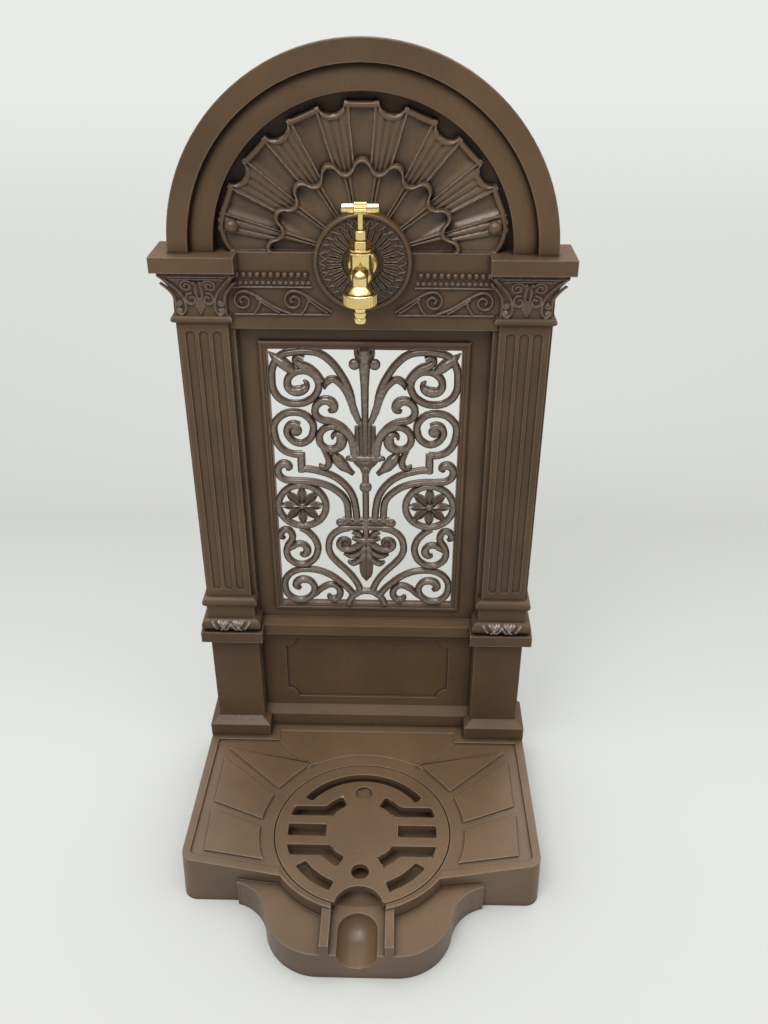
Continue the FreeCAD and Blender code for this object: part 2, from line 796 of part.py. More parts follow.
def make_pilaster():
    lower = "cap_top + lower_torus_height"
    upper = "shaft_bottom - upper_torus_height"
    foot = stepped("pilaster_foot", [
        ("0", "cap_top"),
        *torus("lower_torus", "cap_top", lower),
        ("scotia_reach", lower),
        ("scotia_reach", upper),
        *torus("upper_torus", upper, "shaft_bottom"),
        ("0", "shaft_bottom"),
    ], "panel_back")
    neck_low = "abacus_bottom - bell_height - neck_torus_height"
    bell_low = "abacus_bottom - bell_height"
    capital = stepped("pilaster_capital", [
        ("0", neck_low),
        *torus("neck_torus", neck_low, bell_low),
        ("bell_start_reach", bell_low),
        ("bell_reach", "abacus_bottom - bell_fillet", "bell_height"),
        ("bell_reach", "abacus_bottom"),
    ], "panel_back")
    slope = stepped("plinth_weathering", [
        ("plinth_reach", "plinth_top"),
        ("pedestal_reach", "pedestal_bottom"),
        ("0", "pedestal_bottom"),
    ], "panel_back")
    shaft = block("shaft", ("shaft_in", "shaft_out"), ("shaft_face", "panel_back"),
                  ("cap_top", "abacus_bottom"))
    strip = block("strip", ("strip_in", "strip_out"), ("shaft_face + strip_setback", "panel_back"),
                  ("basin_height", "abacus_bottom"))
    pilaster = fuse(
        "pilaster",
        reached("plinth_block", "plinth_reach", "plinth_reach", ("basin_height", "plinth_top")),
        slope,
        reached("pedestal_block", "pedestal_reach", "pedestal_inner_reach", ("plinth_top", "cap_bottom")),
        reached("cap_block", "cap_reach", "cap_reach", ("cap_bottom", "cap_top")),
        foot, shaft, strip, capital,
        reached("abacus", "abacus_reach", "abacus_inner_reach", ("abacus_bottom", "arch_base")),
    )
    flutes = []
    low = "shaft_bottom + flute_end_gap + flute_width / 2"
    high = "abacus_bottom - bell_height - neck_torus_height - flute_end_gap - flute_width / 2"
    for name, step in (("inner", "- flute_pitch"), ("middle", "+ 0"), ("outer", "+ flute_pitch")):
        left = f"pilaster_center {step} - flute_width / 2"
        right = f"pilaster_center {step} + flute_width / 2"
        flutes.append(slab(f"flute_{name}", "xz", [
            (left, high, f"flute_width * {ROUND_SHARE}"),
            (left, low),
            (right, low, f"flute_width * {ROUND_SHARE}"),
            (right, high),
        ], ("shaft_face - 1", "shaft_face + flute_depth")))
    return cut("fluted_pilaster", pilaster, *flutes)


def make_middle():
    """The field, sill, plinth and entablature between the pilasters, on the right half."""
    bay = ("0", "shaft_in + 1")
    field = block("field", bay, ("field_face", "panel_back"), ("basin_height", "arch_base"))
    plinth = slab("middle_plinth", "yz", [
        ("field_face + 1", "basin_height"),
        ("field_face + 1", "pedestal_bottom + plinth_slope / 2"),
        ("mid_plinth_face", "plinth_top"),
        ("mid_plinth_face", "basin_height"),
    ], bay)
    sill = slab("middle_sill", "yz", [
        ("field_face + 1", "cap_bottom"),
        ("field_face + 1", "cap_top + sill_slope"),
        ("sill_face", "cap_top"),
        ("sill_face", "cap_bottom"),
    ], bay)
    band = block("entablature", bay, ("band_face", "panel_back"), ("band_bottom", "arch_base"))
    middle_z = "(pedestal_bottom + cap_bottom) / 2"
    low = f"{middle_z} - notch_panel_height / 2"
    high = f"{middle_z} + notch_panel_height / 2"
    edge = "notch_panel_half"
    sunk = slab("notched_panel", "xz", [
        ("-1", high),
        ("-1", low),
        (f"{edge} - notch_corner", low),
        (edge, f"{low} + notch_corner", "-notch_corner"),
        (edge, f"{high} - notch_corner"),
        (f"{edge} - notch_corner", high, "-notch_corner"),
    ], ("field_face - 1", "field_face + notch_panel_depth"))
    window = block("window", ("-1", "window_half"), ("field_face - 1", "panel_back + 1"),
                   ("window_bottom", "window_top"))
    return cut("middle_bay", fuse("middle_solid", field, plinth, sill, band), sunk, window)


def make_arch():
    """The arched head with its fascia, cove and niche, on the right half."""
    head = slab("arch_head", "xz", [
        ("0", "arch_base"),
        ("arch_radius", "arch_base"),
        ("0", "arch_base + arch_radius", "arch_radius"),
    ], ("arch_face", "panel_back"))
    step_radius = "arch_radius - fascia_width"
    niche = turned("niche", [
        ("0", "niche_depth"),
        ("0", "-1"),
        (step_radius, "-1"),
        (step_radius, "fascia_step"),
        ("cove_inner_radius", "fascia_step - cove_lift", "-cove_radius"),
        ("cove_inner_radius", "niche_depth"),
    ], axis="y", y="arch_face", z="arch_base")
    above = block("above_base", ("0", "arch_radius"), ("arch_face - 2", "panel_back"),
                  ("arch_base", "arch_base + arch_radius"))
    return cut("arch", head, shared("niche_above", niche, above))


def make_panel():
    seat = shared(
        "rosette_seat",
        rod("seat_round", "y", "rosette_seat_radius", ("band_face", "niche_face"), z="tap_z"),
        block("seat_right", ("0", "arch_radius"), ("band_face", "panel_back"),
              ("band_bottom", "arch_base + arch_radius")),
    )
    solid = fuse("panel_solid", make_pilaster(), make_middle(), make_arch(), seat)
    wall = "casting_wall"
    rear = "panel_back + 1"
    pilaster_pocket = block(
        "pilaster_pocket", (f"shaft_in + {wall}", f"shaft_out - {wall}"),
        (f"shaft_face + {wall} + flute_depth", rear), (f"basin_height + {wall}", f"arch_base - {wall}"),
    )
    field_pocket = block(
        "field_pocket", ("-1", "strip_in"), ("field_rear", rear),
        (f"basin_height + {wall}", f"arch_base - {wall}"),
    )
    band_pocket = block(
        "band_pocket", ("rosette_seat_radius", "strip_in"), (f"band_face + {wall}", "field_rear + 1"),
        (f"band_bottom + {wall}", f"arch_base - {wall}"),
    )
    tap_pocket = rod(
        "tap_pocket", "y", "rosette_seat_radius - casting_wall", ("seat_rear", rear), z="tap_z"
    )
    niche_pocket = shared(
        "niche_pocket",
        rod("niche_pocket_round", "y", "cove_inner_radius", (f"niche_face + {wall}", rear), z="arch_base"),
        block("niche_pocket_half", ("0", "arch_radius"), ("niche_face", rear),
              ("arch_base", "arch_base + arch_radius")),
    )
    fascia_pocket = shared(
        "fascia_pocket",
        cut("fascia_pocket_ring",
            rod("fascia_pocket_outer", "y", f"arch_radius - {wall}",
                (f"arch_face + fascia_step + {wall} * 2", rear), z="arch_base"),
            rod("fascia_pocket_inner", "y", f"cove_inner_radius + {wall}", ("arch_face", f"{rear} + 1"),
                z="arch_base")),
        block("fascia_pocket_half", ("-1", "arch_radius"), ("arch_face", rear),
              ("arch_base", "arch_base + arch_radius")),
    )
    rim_rebate = shared(
        "rim_rebate",
        cut("rim_rebate_ring",
            rod("rim_rebate_outer", "y", "arch_radius + 1", ("arch_face + arch_rim_thickness", rear),
                z="arch_base"),
            rod("rim_rebate_inner", "y", f"arch_radius - fascia_width + {wall}",
                ("arch_face", f"{rear} + 1"), z="arch_base")),
        block("rim_rebate_half", ("-1", "arch_radius + 2"), ("arch_face", rear),
              ("arch_base", "arch_base + arch_radius + 2")),
    )
    bosses = []
    bolt_bores = []
    for name, sign in (("inner", "-"), ("outer", "+")):
        place = {"x": f"pilaster_center {sign} bolt_spacing / 2", "y": "panel_back - bolt_from_back"}
        bosses.append(rod(f"bolt_boss_{name}", "z", "bolt_boss_radius",
                          ("basin_height", "basin_height + bolt_boss_height"), **place))
        bolt_bores.append(rod(f"bolt_bore_{name}", "z", "bolt_radius + thread_clearance",
                              ("basin_height - 1", "basin_height + bolt_bore_depth"), **place))
    tap_hole = rod("tap_hole", "y", "shank_radius + hole_clearance / 2", ("band_face - 1", rear), z="tap_z")
    stud_holes = [
        rod(f"stud_hole_{index}", "y", "stud_radius + hole_clearance / 2",
            ("field_face - 1", "field_rear + 1"), x="window_half + grille_frame / 2", z=height)
        for index, height in enumerate(grille_stud_heights())
    ]
    hollowed = cut("panel_hollowed", solid, pilaster_pocket, field_pocket, band_pocket, tap_pocket,
                   niche_pocket, fascia_pocket, rim_rebate)
    bossed = fuse("panel_bossed", hollowed, *bosses)
    half = cut("panel_half", bossed, tap_hole, *bolt_bores, *stud_holes)
    return both_sides("back_panel", half)


# Shell: a scalloped casting in the niche. The rosette lies over its middle and clamps it

def scallop(label, radius, bite, span):
    """Half a scalloped disc about the tap's axis: lobes on the flutes, hollow bites between."""
    lobe = "shell_lobe_angle / 2"
    corners = [("0", "arch_base"), ("0", f"tap_z + {radius}")]
    for index in range(4):
        middle = f"90 - {index} * shell_pitch"
        x, z = polar(radius, f"{middle} - {lobe}")
        corners.append((x, f"tap_z + {z}", f"-({radius})"))
        x, z = polar(f"{radius} - {bite}", f"{middle} - shell_pitch / 2")
        corners.append((x, f"tap_z + {z}"))
        if index < 3:
            x, z = polar(radius, f"{middle} - shell_pitch + {lobe}")
            corners.append((x, f"tap_z + {z}"))
    x, z = polar(f"{radius} - {bite}", "90 - 3.5 * shell_pitch")
    corners.append((x, "arch_base"))
    corners.reverse()
    return slab(label, "xz", with_reversed_arcs(corners), span)


def with_reversed_arcs(corners):
    """Corners that were listed backwards, with each arc moved to its stretch's other end."""
    result = []
    for index, corner in enumerate(corners):
        before = corners[index - 1]
        curve = tuple(f"-({c})" for c in before[2:])
        result.append(corner[:2] + curve)
    return result


def shell_flute(index):
    """A hollow that widens outwards along one ray of the shell."""
    flute = doc.addObject("Part::Cone", f"shell_flute_{index}")
    angle = f"(90 - {index} * shell_pitch)"
    flute.setExpression("Radius1", bound("flute_start_radius"))
    flute.setExpression("Radius2", bound("flute_end_radius"))
    flute.setExpression("Height", bound("shell_radius + shell_bite - rosette_radius"))
    ray = Rotation(Vector(0, 1, 0), 90 - number(angle))
    x, z = polar("rosette_radius", angle)
    put(flute, x=x, y="shell_face - flute_lift", z=f"tap_z + {z}", rotation=ray)
    return flute


def make_shell():
    rim = scallop("shell_rim", "shell_radius", "shell_bite", ("shell_face", "niche_face"))
    fan = scallop("shell_fan", "fan_radius", "fan_bite", ("shell_face - fan_rise", "niche_face"))
    flutes = [shell_flute(index) for index in range(4)]
    solid = fuse("shell_solid", cut("fluted_shell", rim, *flutes), fan)
    around_seat = rod("shell_seat_gap", "y", "rosette_seat_radius + hole_clearance",
                      ("rosette_face", "panel_back"), z="tap_z")
    under_rosette = rod("shell_landing", "y", "rosette_radius + hole_clearance",
                        ("rosette_face", "band_face"), z="tap_z")
    return both_sides("shell", cut("shell_half", solid, around_seat, under_rosette))


# Grille: a flat cast frame filled with scrolls, drawn for one half and mirrored

def grille_stud_heights():
    return ["window_bottom + stud_from_end", "(window_bottom + window_top) / 2", "window_top - stud_from_end"]


# The drawing's own half width and height, which the window's sizes stretch
DRAWING_HALF = 107.5
DRAWING_HEIGHT = 345.0


def volute(center, outer, inner, start, sweep, bend=1.0):
    """Points on a spiral whose radius falls from outer to inner over its sweep."""
    count = max(4, round(abs(sweep) / 40))
    points = []
    for step in range(count + 1):
        share = step / count
        radius = outer + (inner - outer) * share ** bend
        angle = math.radians(start + sweep * share)
        points.append((center[0] + radius * math.cos(angle), center[1] + radius * math.sin(angle)))
    return points


SCROLLS = {
    "crown": [(5.5, 262), (11, 285), (22, 310.5), (43.5, 334.5), (69.6, 342)]
    + volute((74, 303), 36.2, 6.5, 60, -680, 0.7),
    "inner_hook": [(8, 250), (14, 276), (21, 290), (27, 300), (33, 306)]
    + volute((38.5, 300.5), 7.5, 6.5, 105, -120),
    "outer_hook": [(12.2, 210), (14, 230), (26, 250.5), (38, 257.5)]
    + volute((46.5, 272.5), 12.5, 7, -65, 280),
    "ring_scroll": [(73, 212), (84, 213), (97, 221), (105.3, 238), (102.5, 257), (82, 268.5), (62, 258.5),
                    (61, 241), (76, 230), (90, 237), (91.5, 247), (82, 255.5), (73.5, 249)],
    "elbow_bar": [(75.6, 195), (65, 195.5), (52.5, 193), (40, 187.5), (28.5, 178.5), (17, 160.5),
                  (12, 143), (10.3, 122)],
    "leaf_scroll": [(13, 215), (16, 230), (22, 239.5), (30, 246)] + volute((39, 234.5), 15, 8, 90, -280),
    "leaf_tail": [(54.5, 234), (51.7, 221), (47, 212), (44, 204), (45, 197.5), (49, 195.8), (53, 199)],
    "side_hook": [(21.9, 122), (26, 146), (34, 160), (44, 169), (57, 175), (72, 178), (88, 179)]
    + volute((97.5, 193.5), 12.5, 6, -75, 270),
    "lower_scroll": [(82, 114), (73.5, 105.5), (65.5, 97), (60.5, 85), (60.5, 73), (66.5, 62.5), (76, 57.5),
                     (85.5, 58.2), (94, 64), (98.3, 73.5), (97, 83), (92, 91.5), (89.3, 99.5), (92.2, 106.5),
                     (98.3, 109.5), (104, 106), (105.5, 98.5)],
    "lower_curl": [(95.5, 77), (90, 84.5), (82.5, 88.6), (74.5, 86), (70, 79.5), (73, 72.5), (79, 70)],
    "foot_scroll": [(18.9, 9), (26, 23.5), (37, 34.7), (48.5, 44), (60, 50)]
    + volute((81.5, 25.5), 27, 6.5, 105, -555),
    "foot_curl": [(67.5, 9), (58, 20), (49, 25.5), (39.7, 24), (33, 16), (34.5, 7.5), (41, 4), (47, 7)],
    "heart": [(22, 112), (35.5, 106), (43, 99.3), (45.7, 89), (43.7, 78), (36.3, 67), (25, 54), (15.3, 39.8),
              (8.5, 24.7), (6.3, 15)],
    "foot_arch": [(20, 0), (15.4, 8), (7.8, 14.2), (-3, 16.7)],
    "upper_petal": [(3, 95), (10, 83), (18, 77.5), (27, 77)],
    "lower_petal": [(3, 88), (8, 73), (14.5, 65), (22.5, 61.5)],
    "corner_leaf": [(105, 339), (98, 332), (88.5, 324), (79, 318)],
    "crown_leaf": [(73, 326), (64, 321), (55, 313.5), (48, 303.5)],
    "drop_leaf": [(39, 219), (30.5, 210.5), (25, 201.5), (16, 191)],
}
BALLS = [(10.3, 328, 5.8), (32.3, 119, 5.5), (27, 91.7, 7), (72, 333, 5)]
FLOWER_CENTER = (76.3, 143.3)
FLOWER_RING = 28
KNOB = (0, 171.5)
PLATES = {
    "center_stem": [(-5.7, 255), (5.7, 255), (5, 330), (-5, 330)],
    "bundle": [(-15, 208), (15, 208), (13, 262), (-13, 262)],
    "calyx_collar": [(-19.5, 204.5), (19.5, 204.5), (19.5, 211.5), (-19.5, 211.5)],
    "calyx_cup": [(-4, 190), (4, 190), (16.5, 205), (-16.5, 205)],
    "lower_stem": [(-4, 100), (4, 100), (4, 192), (-4, 192)],
    "vase_collar": [(-32, 111), (32, 111), (32, 124), (-32, 124)],
    "palmette_band": [(-22, 93.5), (22, 93.5), (22, 98.5), (-22, 98.5)],
    "elbow_leg": [(72, 191.6), (79.5, 191.6), (79.5, 215.5), (72, 215.5)],
    "finial": [(-5, 328), (5, 328), (5, 346), (-5, 346)],
    "palmette_drop": [(-7.5, 92), (-8, 60), (0, 34.5), (8, 60), (7.5, 92)],
}


def stretched(point):
    return Vector(
        point[0] * number("window_half") / DRAWING_HALF,
        point[1] * number("window_height") / DRAWING_HEIGHT,
        0,
    )


def heading_through(before, here, after):
    """The heading at a point of the circle through it and its neighbours."""
    first, second = here - before, after - here
    blend = first * (second.Length / first.Length) + second * (first.Length / second.Length)
    return blend.normalize()


def headings(points):
    inner = [heading_through(*points[i - 1:i + 2]) for i in range(1, len(points) - 1)]
    first = (points[1] - points[0]).normalize()
    last = (points[-1] - points[-2]).normalize()
    start = first * (2 * first.dot(inner[0])) - inner[0]
    finish = last * (2 * last.dot(inner[-1])) - inner[-1]
    return [start] + inner + [finish]


def biarc_joint(start, start_heading, end, end_heading):
    """The point where two arcs meet that leave start and reach end along the given headings."""
    chord = end - start
    sum_of_headings = start_heading + end_heading
    a = 2 * (1 - start_heading.dot(end_heading))
    b = chord.dot(sum_of_headings)
    c = chord.dot(chord)
    if a < 1e-6:
        length = c / (4 * chord.dot(end_heading))
    else:
        length = (math.sqrt(b * b + a * c) - b) / a
    return (start + start_heading * length + end - end_heading * length) * 0.5


def sided(heading, width):
    return Vector(-heading.y, heading.x, 0) * width


def arc_from(start, heading, end):
    """An edge that leaves start along a heading and ends at end, and its heading there."""
    chord = end - start
    direction = Vector(chord).normalize()
    end_heading = direction * (2 * direction.dot(heading)) - heading
    bow = sided(direction, 1).dot(heading)
    if abs(bow) < 1e-4:
        return Part.LineSegment(start, end).toShape(), end_heading
    half_turn = math.asin(max(-1.0, min(1.0, bow)))
    middle = (start + end) * 0.5 + sided(direction, chord.Length / 2 * math.tan(half_turn / 2))
    return Part.Arc(start, middle, end).toShape(), end_heading


def ribbon(points, width):
    """A flat face of even width along tangent arcs through the points, with round ends."""
    nodes = []
    turns = headings(points)
    for index in range(len(points) - 1):
        here, there = points[index], points[index + 1]
        nodes.append((here, turns[index]))
        joint = biarc_joint(here, turns[index], there, turns[index + 1])
        _, middle_heading = arc_from(here, turns[index], joint)
        nodes.append((joint, middle_heading))
    nodes.append((points[-1], turns[-1]))
    half = width / 2
    edges = []
    for way in (1, -1):
        run = nodes if way == 1 else [(point, heading * -1) for point, heading in reversed(nodes)]
        for (here, heading), (there, next_heading) in zip(run, run[1:]):
            start, end = here - sided(heading, half), there - sided(next_heading, half)
            edges.append(arc_from(start, heading, end)[0])
        tip, heading = run[-1]
        cap = Part.Arc(tip - sided(heading, half), tip + heading * half, tip + sided(heading, half))
        edges.append(cap.toShape())
    return Part.Face(Part.Wire(edges))


def ring_flower(center, ring_radius, width):
    """A ring with an eight-petalled flower in it; the petals are widest halfway out."""
    ring = disc(center, ring_radius + width / 2).cut(disc(center, ring_radius - width / 2))
    petals = [disc(center, width)]
    for index in range(8):
        angle = math.radians(45 * index)
        ray = Vector(math.cos(angle), math.sin(angle), 0)
        outline = [
            center,
            center + ray * (ring_radius / 2) + sided(ray, width * 0.9),
            center + ray * (ring_radius - width / 4),
            center + ray * (ring_radius / 2) - sided(ray, width * 0.9),
            center,
        ]
        petals.append(Part.Face(Part.makePolygon(outline)))
    return [ring] + petals


def disc(center, radius):
    return Part.Face(Part.Wire(Part.makeCircle(radius, center)))


def rectangle(left, right, low, high):
    corners = [Vector(left, low), Vector(right, low), Vector(right, high), Vector(left, high)]
    return Part.Face(Part.makePolygon(corners + corners[:1]))


def merged(faces):
    """The flat face that overlapping flat faces make together, from the edges only one has."""
    pieces = faces[0].multiFuse(faces[1:]).Faces
    uses = {}
    for piece in pieces:
        for edge in piece.Edges:
            uses.setdefault(edge.hashCode(), []).append(edge)
    return face_within([edges[0] for edges in uses.values() if len(edges) == 1])


def face_within(rims):
    wires = [Part.Wire(run) for run in Part.sortEdges(rims)]
    return Part.makeFace(wires, "Part::FaceMakerBullseye")


def make_grille():
    width = number("bar_width")
    half = number("window_half")
    height = number("window_height")
    frame = number("grille_frame")
    faces = [ribbon([stretched(point) for point in points], width) for points in SCROLLS.values()]
    faces += [disc(stretched((x, z)), radius) for x, z, radius in BALLS]
    faces.append(disc(stretched(KNOB), width))
    for corners in PLATES.values():
        outline = [stretched(point) for point in corners]
        faces.append(Part.Face(Part.makePolygon(outline + outline[:1])))
    faces += ring_flower(stretched(FLOWER_CENTER), FLOWER_RING, width)
    faces.append(rectangle(half, half + frame, -frame, height + frame))
    faces.append(rectangle(0, half + frame, -frame, 0))
    faces.append(rectangle(0, half + frame, height, height + frame))
    right = merged(faces).common(rectangle(0, half + frame, -frame, height + frame))
    rims = [edge for edge in right.Edges if edge.BoundBox.XMax > 1e-6]
    rims += [edge.mirror(Vector(), Vector(1, 0, 0)) for edge in rims]
    solid = face_within(rims).extrude(Vector(0, 0, number("grille_thickness")))
    grille = doc.addObject("Part::Feature", "grille")
    grille.Shape = solid
    put(grille, y="field_face", z="window_bottom", rotation=Rotation(Vector(1, 0, 0), 90))
    return grille


def stud_places():
    for index, height in enumerate(grille_stud_heights()):
        for name, sign in (("right", ""), ("left", "-")):
            yield f"{name}_{index}", {"x": f"{sign}(window_half + grille_frame / 2)", "z": height}


def make_grille_studs():
    """Studs welded to the back of the grille's frame, which pass through the panel's plate."""
    return group("grille_studs", [
        rod(f"grille_stud_{name}", "y", "stud_radius", ("field_face", "field_rear + stud_end"), **place)
        for name, place in stud_places()
    ])


def make_grille_nuts():
    nuts = []
    for name, place in stud_places():
        span = ("field_rear", "field_rear + stud_nut_thickness")
        nuts.append(cut(
            f"grille_nut_{name}",
            hexagon(f"grille_nut_hex_{name}", "y", "stud_nut_across", span, **place),
            rod(f"grille_nut_bore_{name}", "y", "stud_radius + thread_clearance", span, **place),
        ))
    return group("grille_nuts", nuts)


def group(label, pieces):
    """Separate solids kept together under one name."""
    bundle = doc.addObject("Part::Compound", label)
    bundle.Links = pieces
    return bundle


# Bolts and washers that hold the panel down on the basin's deck

def bolt_places():
    for name, sign in (("right", ""), ("left", "-")):
        for row, step in (("inner", "-"), ("outer", "+")):
            yield f"{name}_{row}", {
                "x": f"{sign}(pilaster_center {step} bolt_spacing / 2)",
                "y": "panel_back - bolt_from_back",
            }


def make_panel_bolts():
    bolts = []
    deck = "basin_height - casting_wall"
    for name, place in bolt_places():
        head_top = f"{deck} - washer_thickness"
        bolts.append(fuse(
            f"panel_bolt_{name}",
            hexagon(f"bolt_head_{name}", "z", "bolt_head_across",
                    (f"{head_top} - bolt_head", head_top), **place),
            rod(f"bolt_shank_{name}", "z", "bolt_radius",
                (f"{head_top} - 1", "basin_height + bolt_reach"), **place),
        ))
    return group("panel_bolts", bolts)


def make_panel_washers():
    washers = []
    deck = "basin_height - casting_wall"
    for name, place in bolt_places():
        span = (f"{deck} - washer_thickness", deck)
        washers.append(cut(
            f"panel_washer_{name}",
            rod(f"washer_disc_{name}", "z", "washer_radius", span, **place),
            rod(f"washer_hole_{name}", "z", "bolt_radius + hole_clearance", span, **place),
        ))
    return group("panel_washers", washers)


# Rosette and tap

def make_rosette():
    rim = "rosette_radius - rosette_rim"
    return turned("tap_rosette", [
        ("shank_radius + hole_clearance / 2", "0"),
        ("rosette_seat_radius", "0"),
        ("rosette_radius", "rosette_edge - rosette_thickness"),
        ("rosette_radius", "-rosette_thickness"),
        (rim, "-rosette_thickness"),
        (rim, "rosette_dish - rosette_thickness"),
        ("rosette_hub_radius", "rosette_dish - rosette_thickness"),
        ("rosette_hub_radius", "rosette_hub_depth - rosette_thickness"),
        ("shank_radius + hole_clearance / 2", "rosette_hub_depth - rosette_thickness"),
    ], axis="y", y="band_face", z="tap_z")


def make_wall_flange():
    bore = "shank_radius + thread_clearance"
    return turned("wall_flange", [
        (bore, "0"),
        ("flange_radius", "0"),
        ("flange_radius", "-flange_base"),
        (f"{bore} + flange_wall", "-flange_depth", "-(flange_depth)"),
        (bore, "-flange_depth"),
    ], axis="y", y="hub_floor", z="tap_z")


def make_tap_body():
    front = {"y": "spindle_y"}
    spout_z = "tap_z + spout_rise"
    solid = fuse(
        "tap_body_solid",
        ball("body_ball", "body_radius", z="tap_z", **front),
        rod("body_tube", "y", "body_tube_radius", ("spindle_y", "flange_face"), z="tap_z"),
        rod("body_shank", "y", "shank_radius", ("flange_face - 1", "locknut_end"), z="tap_z"),
        rod("inlet_thread", "y", "inlet_thread_radius", ("flange_face", "shank_end"), z="tap_z"),
        rod("body_neck", "z", "neck_radius", ("tap_z", "neck_top"), **front),
        rod("body_lip", "z", "lip_radius", ("neck_top - lip_height", "neck_top"), **front),
        rod("spout_leg", "y", "spout_radius", ("spout_y", "spindle_y"), z=spout_z),
        ball("spout_elbow", "spout_radius", y="spout_y", z=spout_z),
        rod("spout_down", "z", "spout_radius", ("spout_end", spout_z), y="spout_y"),
        turned("spout_thread", [
            ("0", "0"),
            ("spout_thread_radius", "0"),
            ("spout_thread_radius", "spout_thread_length"),
            ("spout_radius", "spout_thread_length + spout_flare", "spout_flare * 4"),
            ("0", "spout_thread_length + spout_flare"),
        ], y="spout_y", z="spout_end"),
    )
    low = "tap_z - seat_height"
    return cut(
        "tap_body", solid,
        rod("inlet", "y", "inlet_bore", ("spindle_y", "shank_end + 1"), z=low),
        rod("valve_port", "z", "seat_bore", (low, "valve_seat + 1"), **front),
        rod("valve_chamber", "z", "chamber_radius", ("valve_seat", "neck_top + 1"), **front),
        rod("spout_way", "y", "spout_bore", ("spout_y", "spindle_y"), z="valve_seat + spout_bore"),
        rod("spout_outlet", "z", "outlet_bore", ("spout_end - 1", "valve_seat + spout_bore"), y="spout_y"),
    )


def make_bonnet():
    collar = "hex_bottom - neck_top"
    spigot = "chamber_radius - thread_clearance"
    nut_room = "spindle_thread_radius + running_clearance"
    roof = "hex_top - bonnet_hex_height / 3 - neck_top"
    shape = turned("bonnet_turned", [
        (nut_room, "-bonnet_spigot"),
        (spigot, "-bonnet_spigot"),
        (spigot, "bonnet_washer_thickness"),
        ("lip_radius", "bonnet_washer_thickness"),
        ("lip_radius", collar),
        ("bonnet_hex_across / 2", collar),
        ("bonnet_hex_across / 2", "hex_top - neck_top"),
        ("gland_neck_radius", "hex_top - neck_top"),
        ("gland_neck_radius", "gland_neck_top - neck_top"),
        ("stem_bore", "gland_neck_top - neck_top"),
        ("stem_bore", roof),
        (nut_room, roof),
    ], y="spindle_y", z="neck_top")
    corners = cut(
        "bonnet_corners",
        hexagon("bonnet_hex", "z", "bonnet_hex_across", ("hex_bottom", "hex_top"), y="spindle_y"),
        rod("bonnet_hex_core", "z", "gland_neck_radius", ("hex_bottom - 1", "hex_top + 1"), y="spindle_y"),
    )
    return fuse("bonnet", shape, corners)


def make_washer(label, inner, outer, thickness, axis="z", **place):
    return turned(label, [(inner, "0"), (outer, "0"), (outer, thickness), (inner, thickness)], axis, **place)


def make_gland_nut():
    inside = "gland_neck_radius + thread_clearance"
    return turned("gland_nut", [
        (inside, "0"),
        ("gland_radius", "0"),
        ("gland_radius", "gland_height - edge_chamfer"),
        ("gland_radius - edge_chamfer", "gland_height"),
        ("stem_bore", "gland_height"),
        ("stem_bore", "gland_height - gland_top"),
        (inside, "gland_height - gland_top"),
    ], y="spindle_y", z="hex_top")


def make_spindle():
    socket = "jumper_stem_radius + running_clearance"
    return turned("spindle", [
        (socket, "0"),
        ("spindle_thread_radius", "0"),
        ("spindle_thread_radius", "spindle_thread_length"),
        ("spindle_radius", "spindle_thread_length"),
        ("spindle_radius", "handle_z - jumper_top"),
        ("0", "handle_z - jumper_top"),
        ("0", "jumper_stem_length + stem_end_gap"),
        (socket, "jumper_stem_length + stem_end_gap"),
    ], y="spindle_y", z="jumper_top")


def make_handle_bar():
    half = "handle_length / 2"
    grip = "handle_grip_length / 2"
    bar = turned("handle_turned", [
        ("0", f"-{half}"),
        ("handle_radius - edge_chamfer", f"-{half}"),
        ("handle_radius", f"-{half} + edge_chamfer"),
        ("handle_radius", f"-{grip}"),
        ("handle_grip_radius", f"-{grip}"),
        ("handle_grip_radius", grip),
        ("handle_radius", grip),
        ("handle_radius", f"{half} - edge_chamfer"),
        ("handle_radius - edge_chamfer", half),
        ("0", half),
    ], axis="x", y="spindle_y", z="handle_z")
    socket = rod("handle_socket", "z", "spindle_radius", ("handle_z - handle_radius * 2", "handle_z"),
                 y="spindle_y")
    return cut("handle_bar", bar, socket)


def make_jumper():
    return turned("jumper", [
        ("0", "0"),
        ("jumper_radius", "0"),
        ("jumper_radius", "jumper_thickness"),
        ("jumper_stem_radius", "jumper_thickness"),
        ("jumper_stem_radius", "jumper_thickness + jumper_stem_length"),
        ("0", "jumper_thickness + jumper_stem_length"),
    ], y="spindle_y", z="jumper_bottom")


def make_union_nut():
    inside = "spout_thread_radius + running_clearance"
    mouth = "tail_collar_radius + running_clearance"
    return turned("union_nut", [
        (mouth, "0"),
        ("union_nut_radius - edge_chamfer", "0"),
        ("union_nut_radius", "edge_chamfer"),
        ("union_nut_radius", "union_nut_height - edge_chamfer"),
        ("union_nut_radius - edge_chamfer", "union_nut_height"),
        (inside, "union_nut_height"),
        (inside, "union_nut_lip"),
        (mouth, "union_nut_lip"),
    ], y="spout_y", z="nut_bottom")


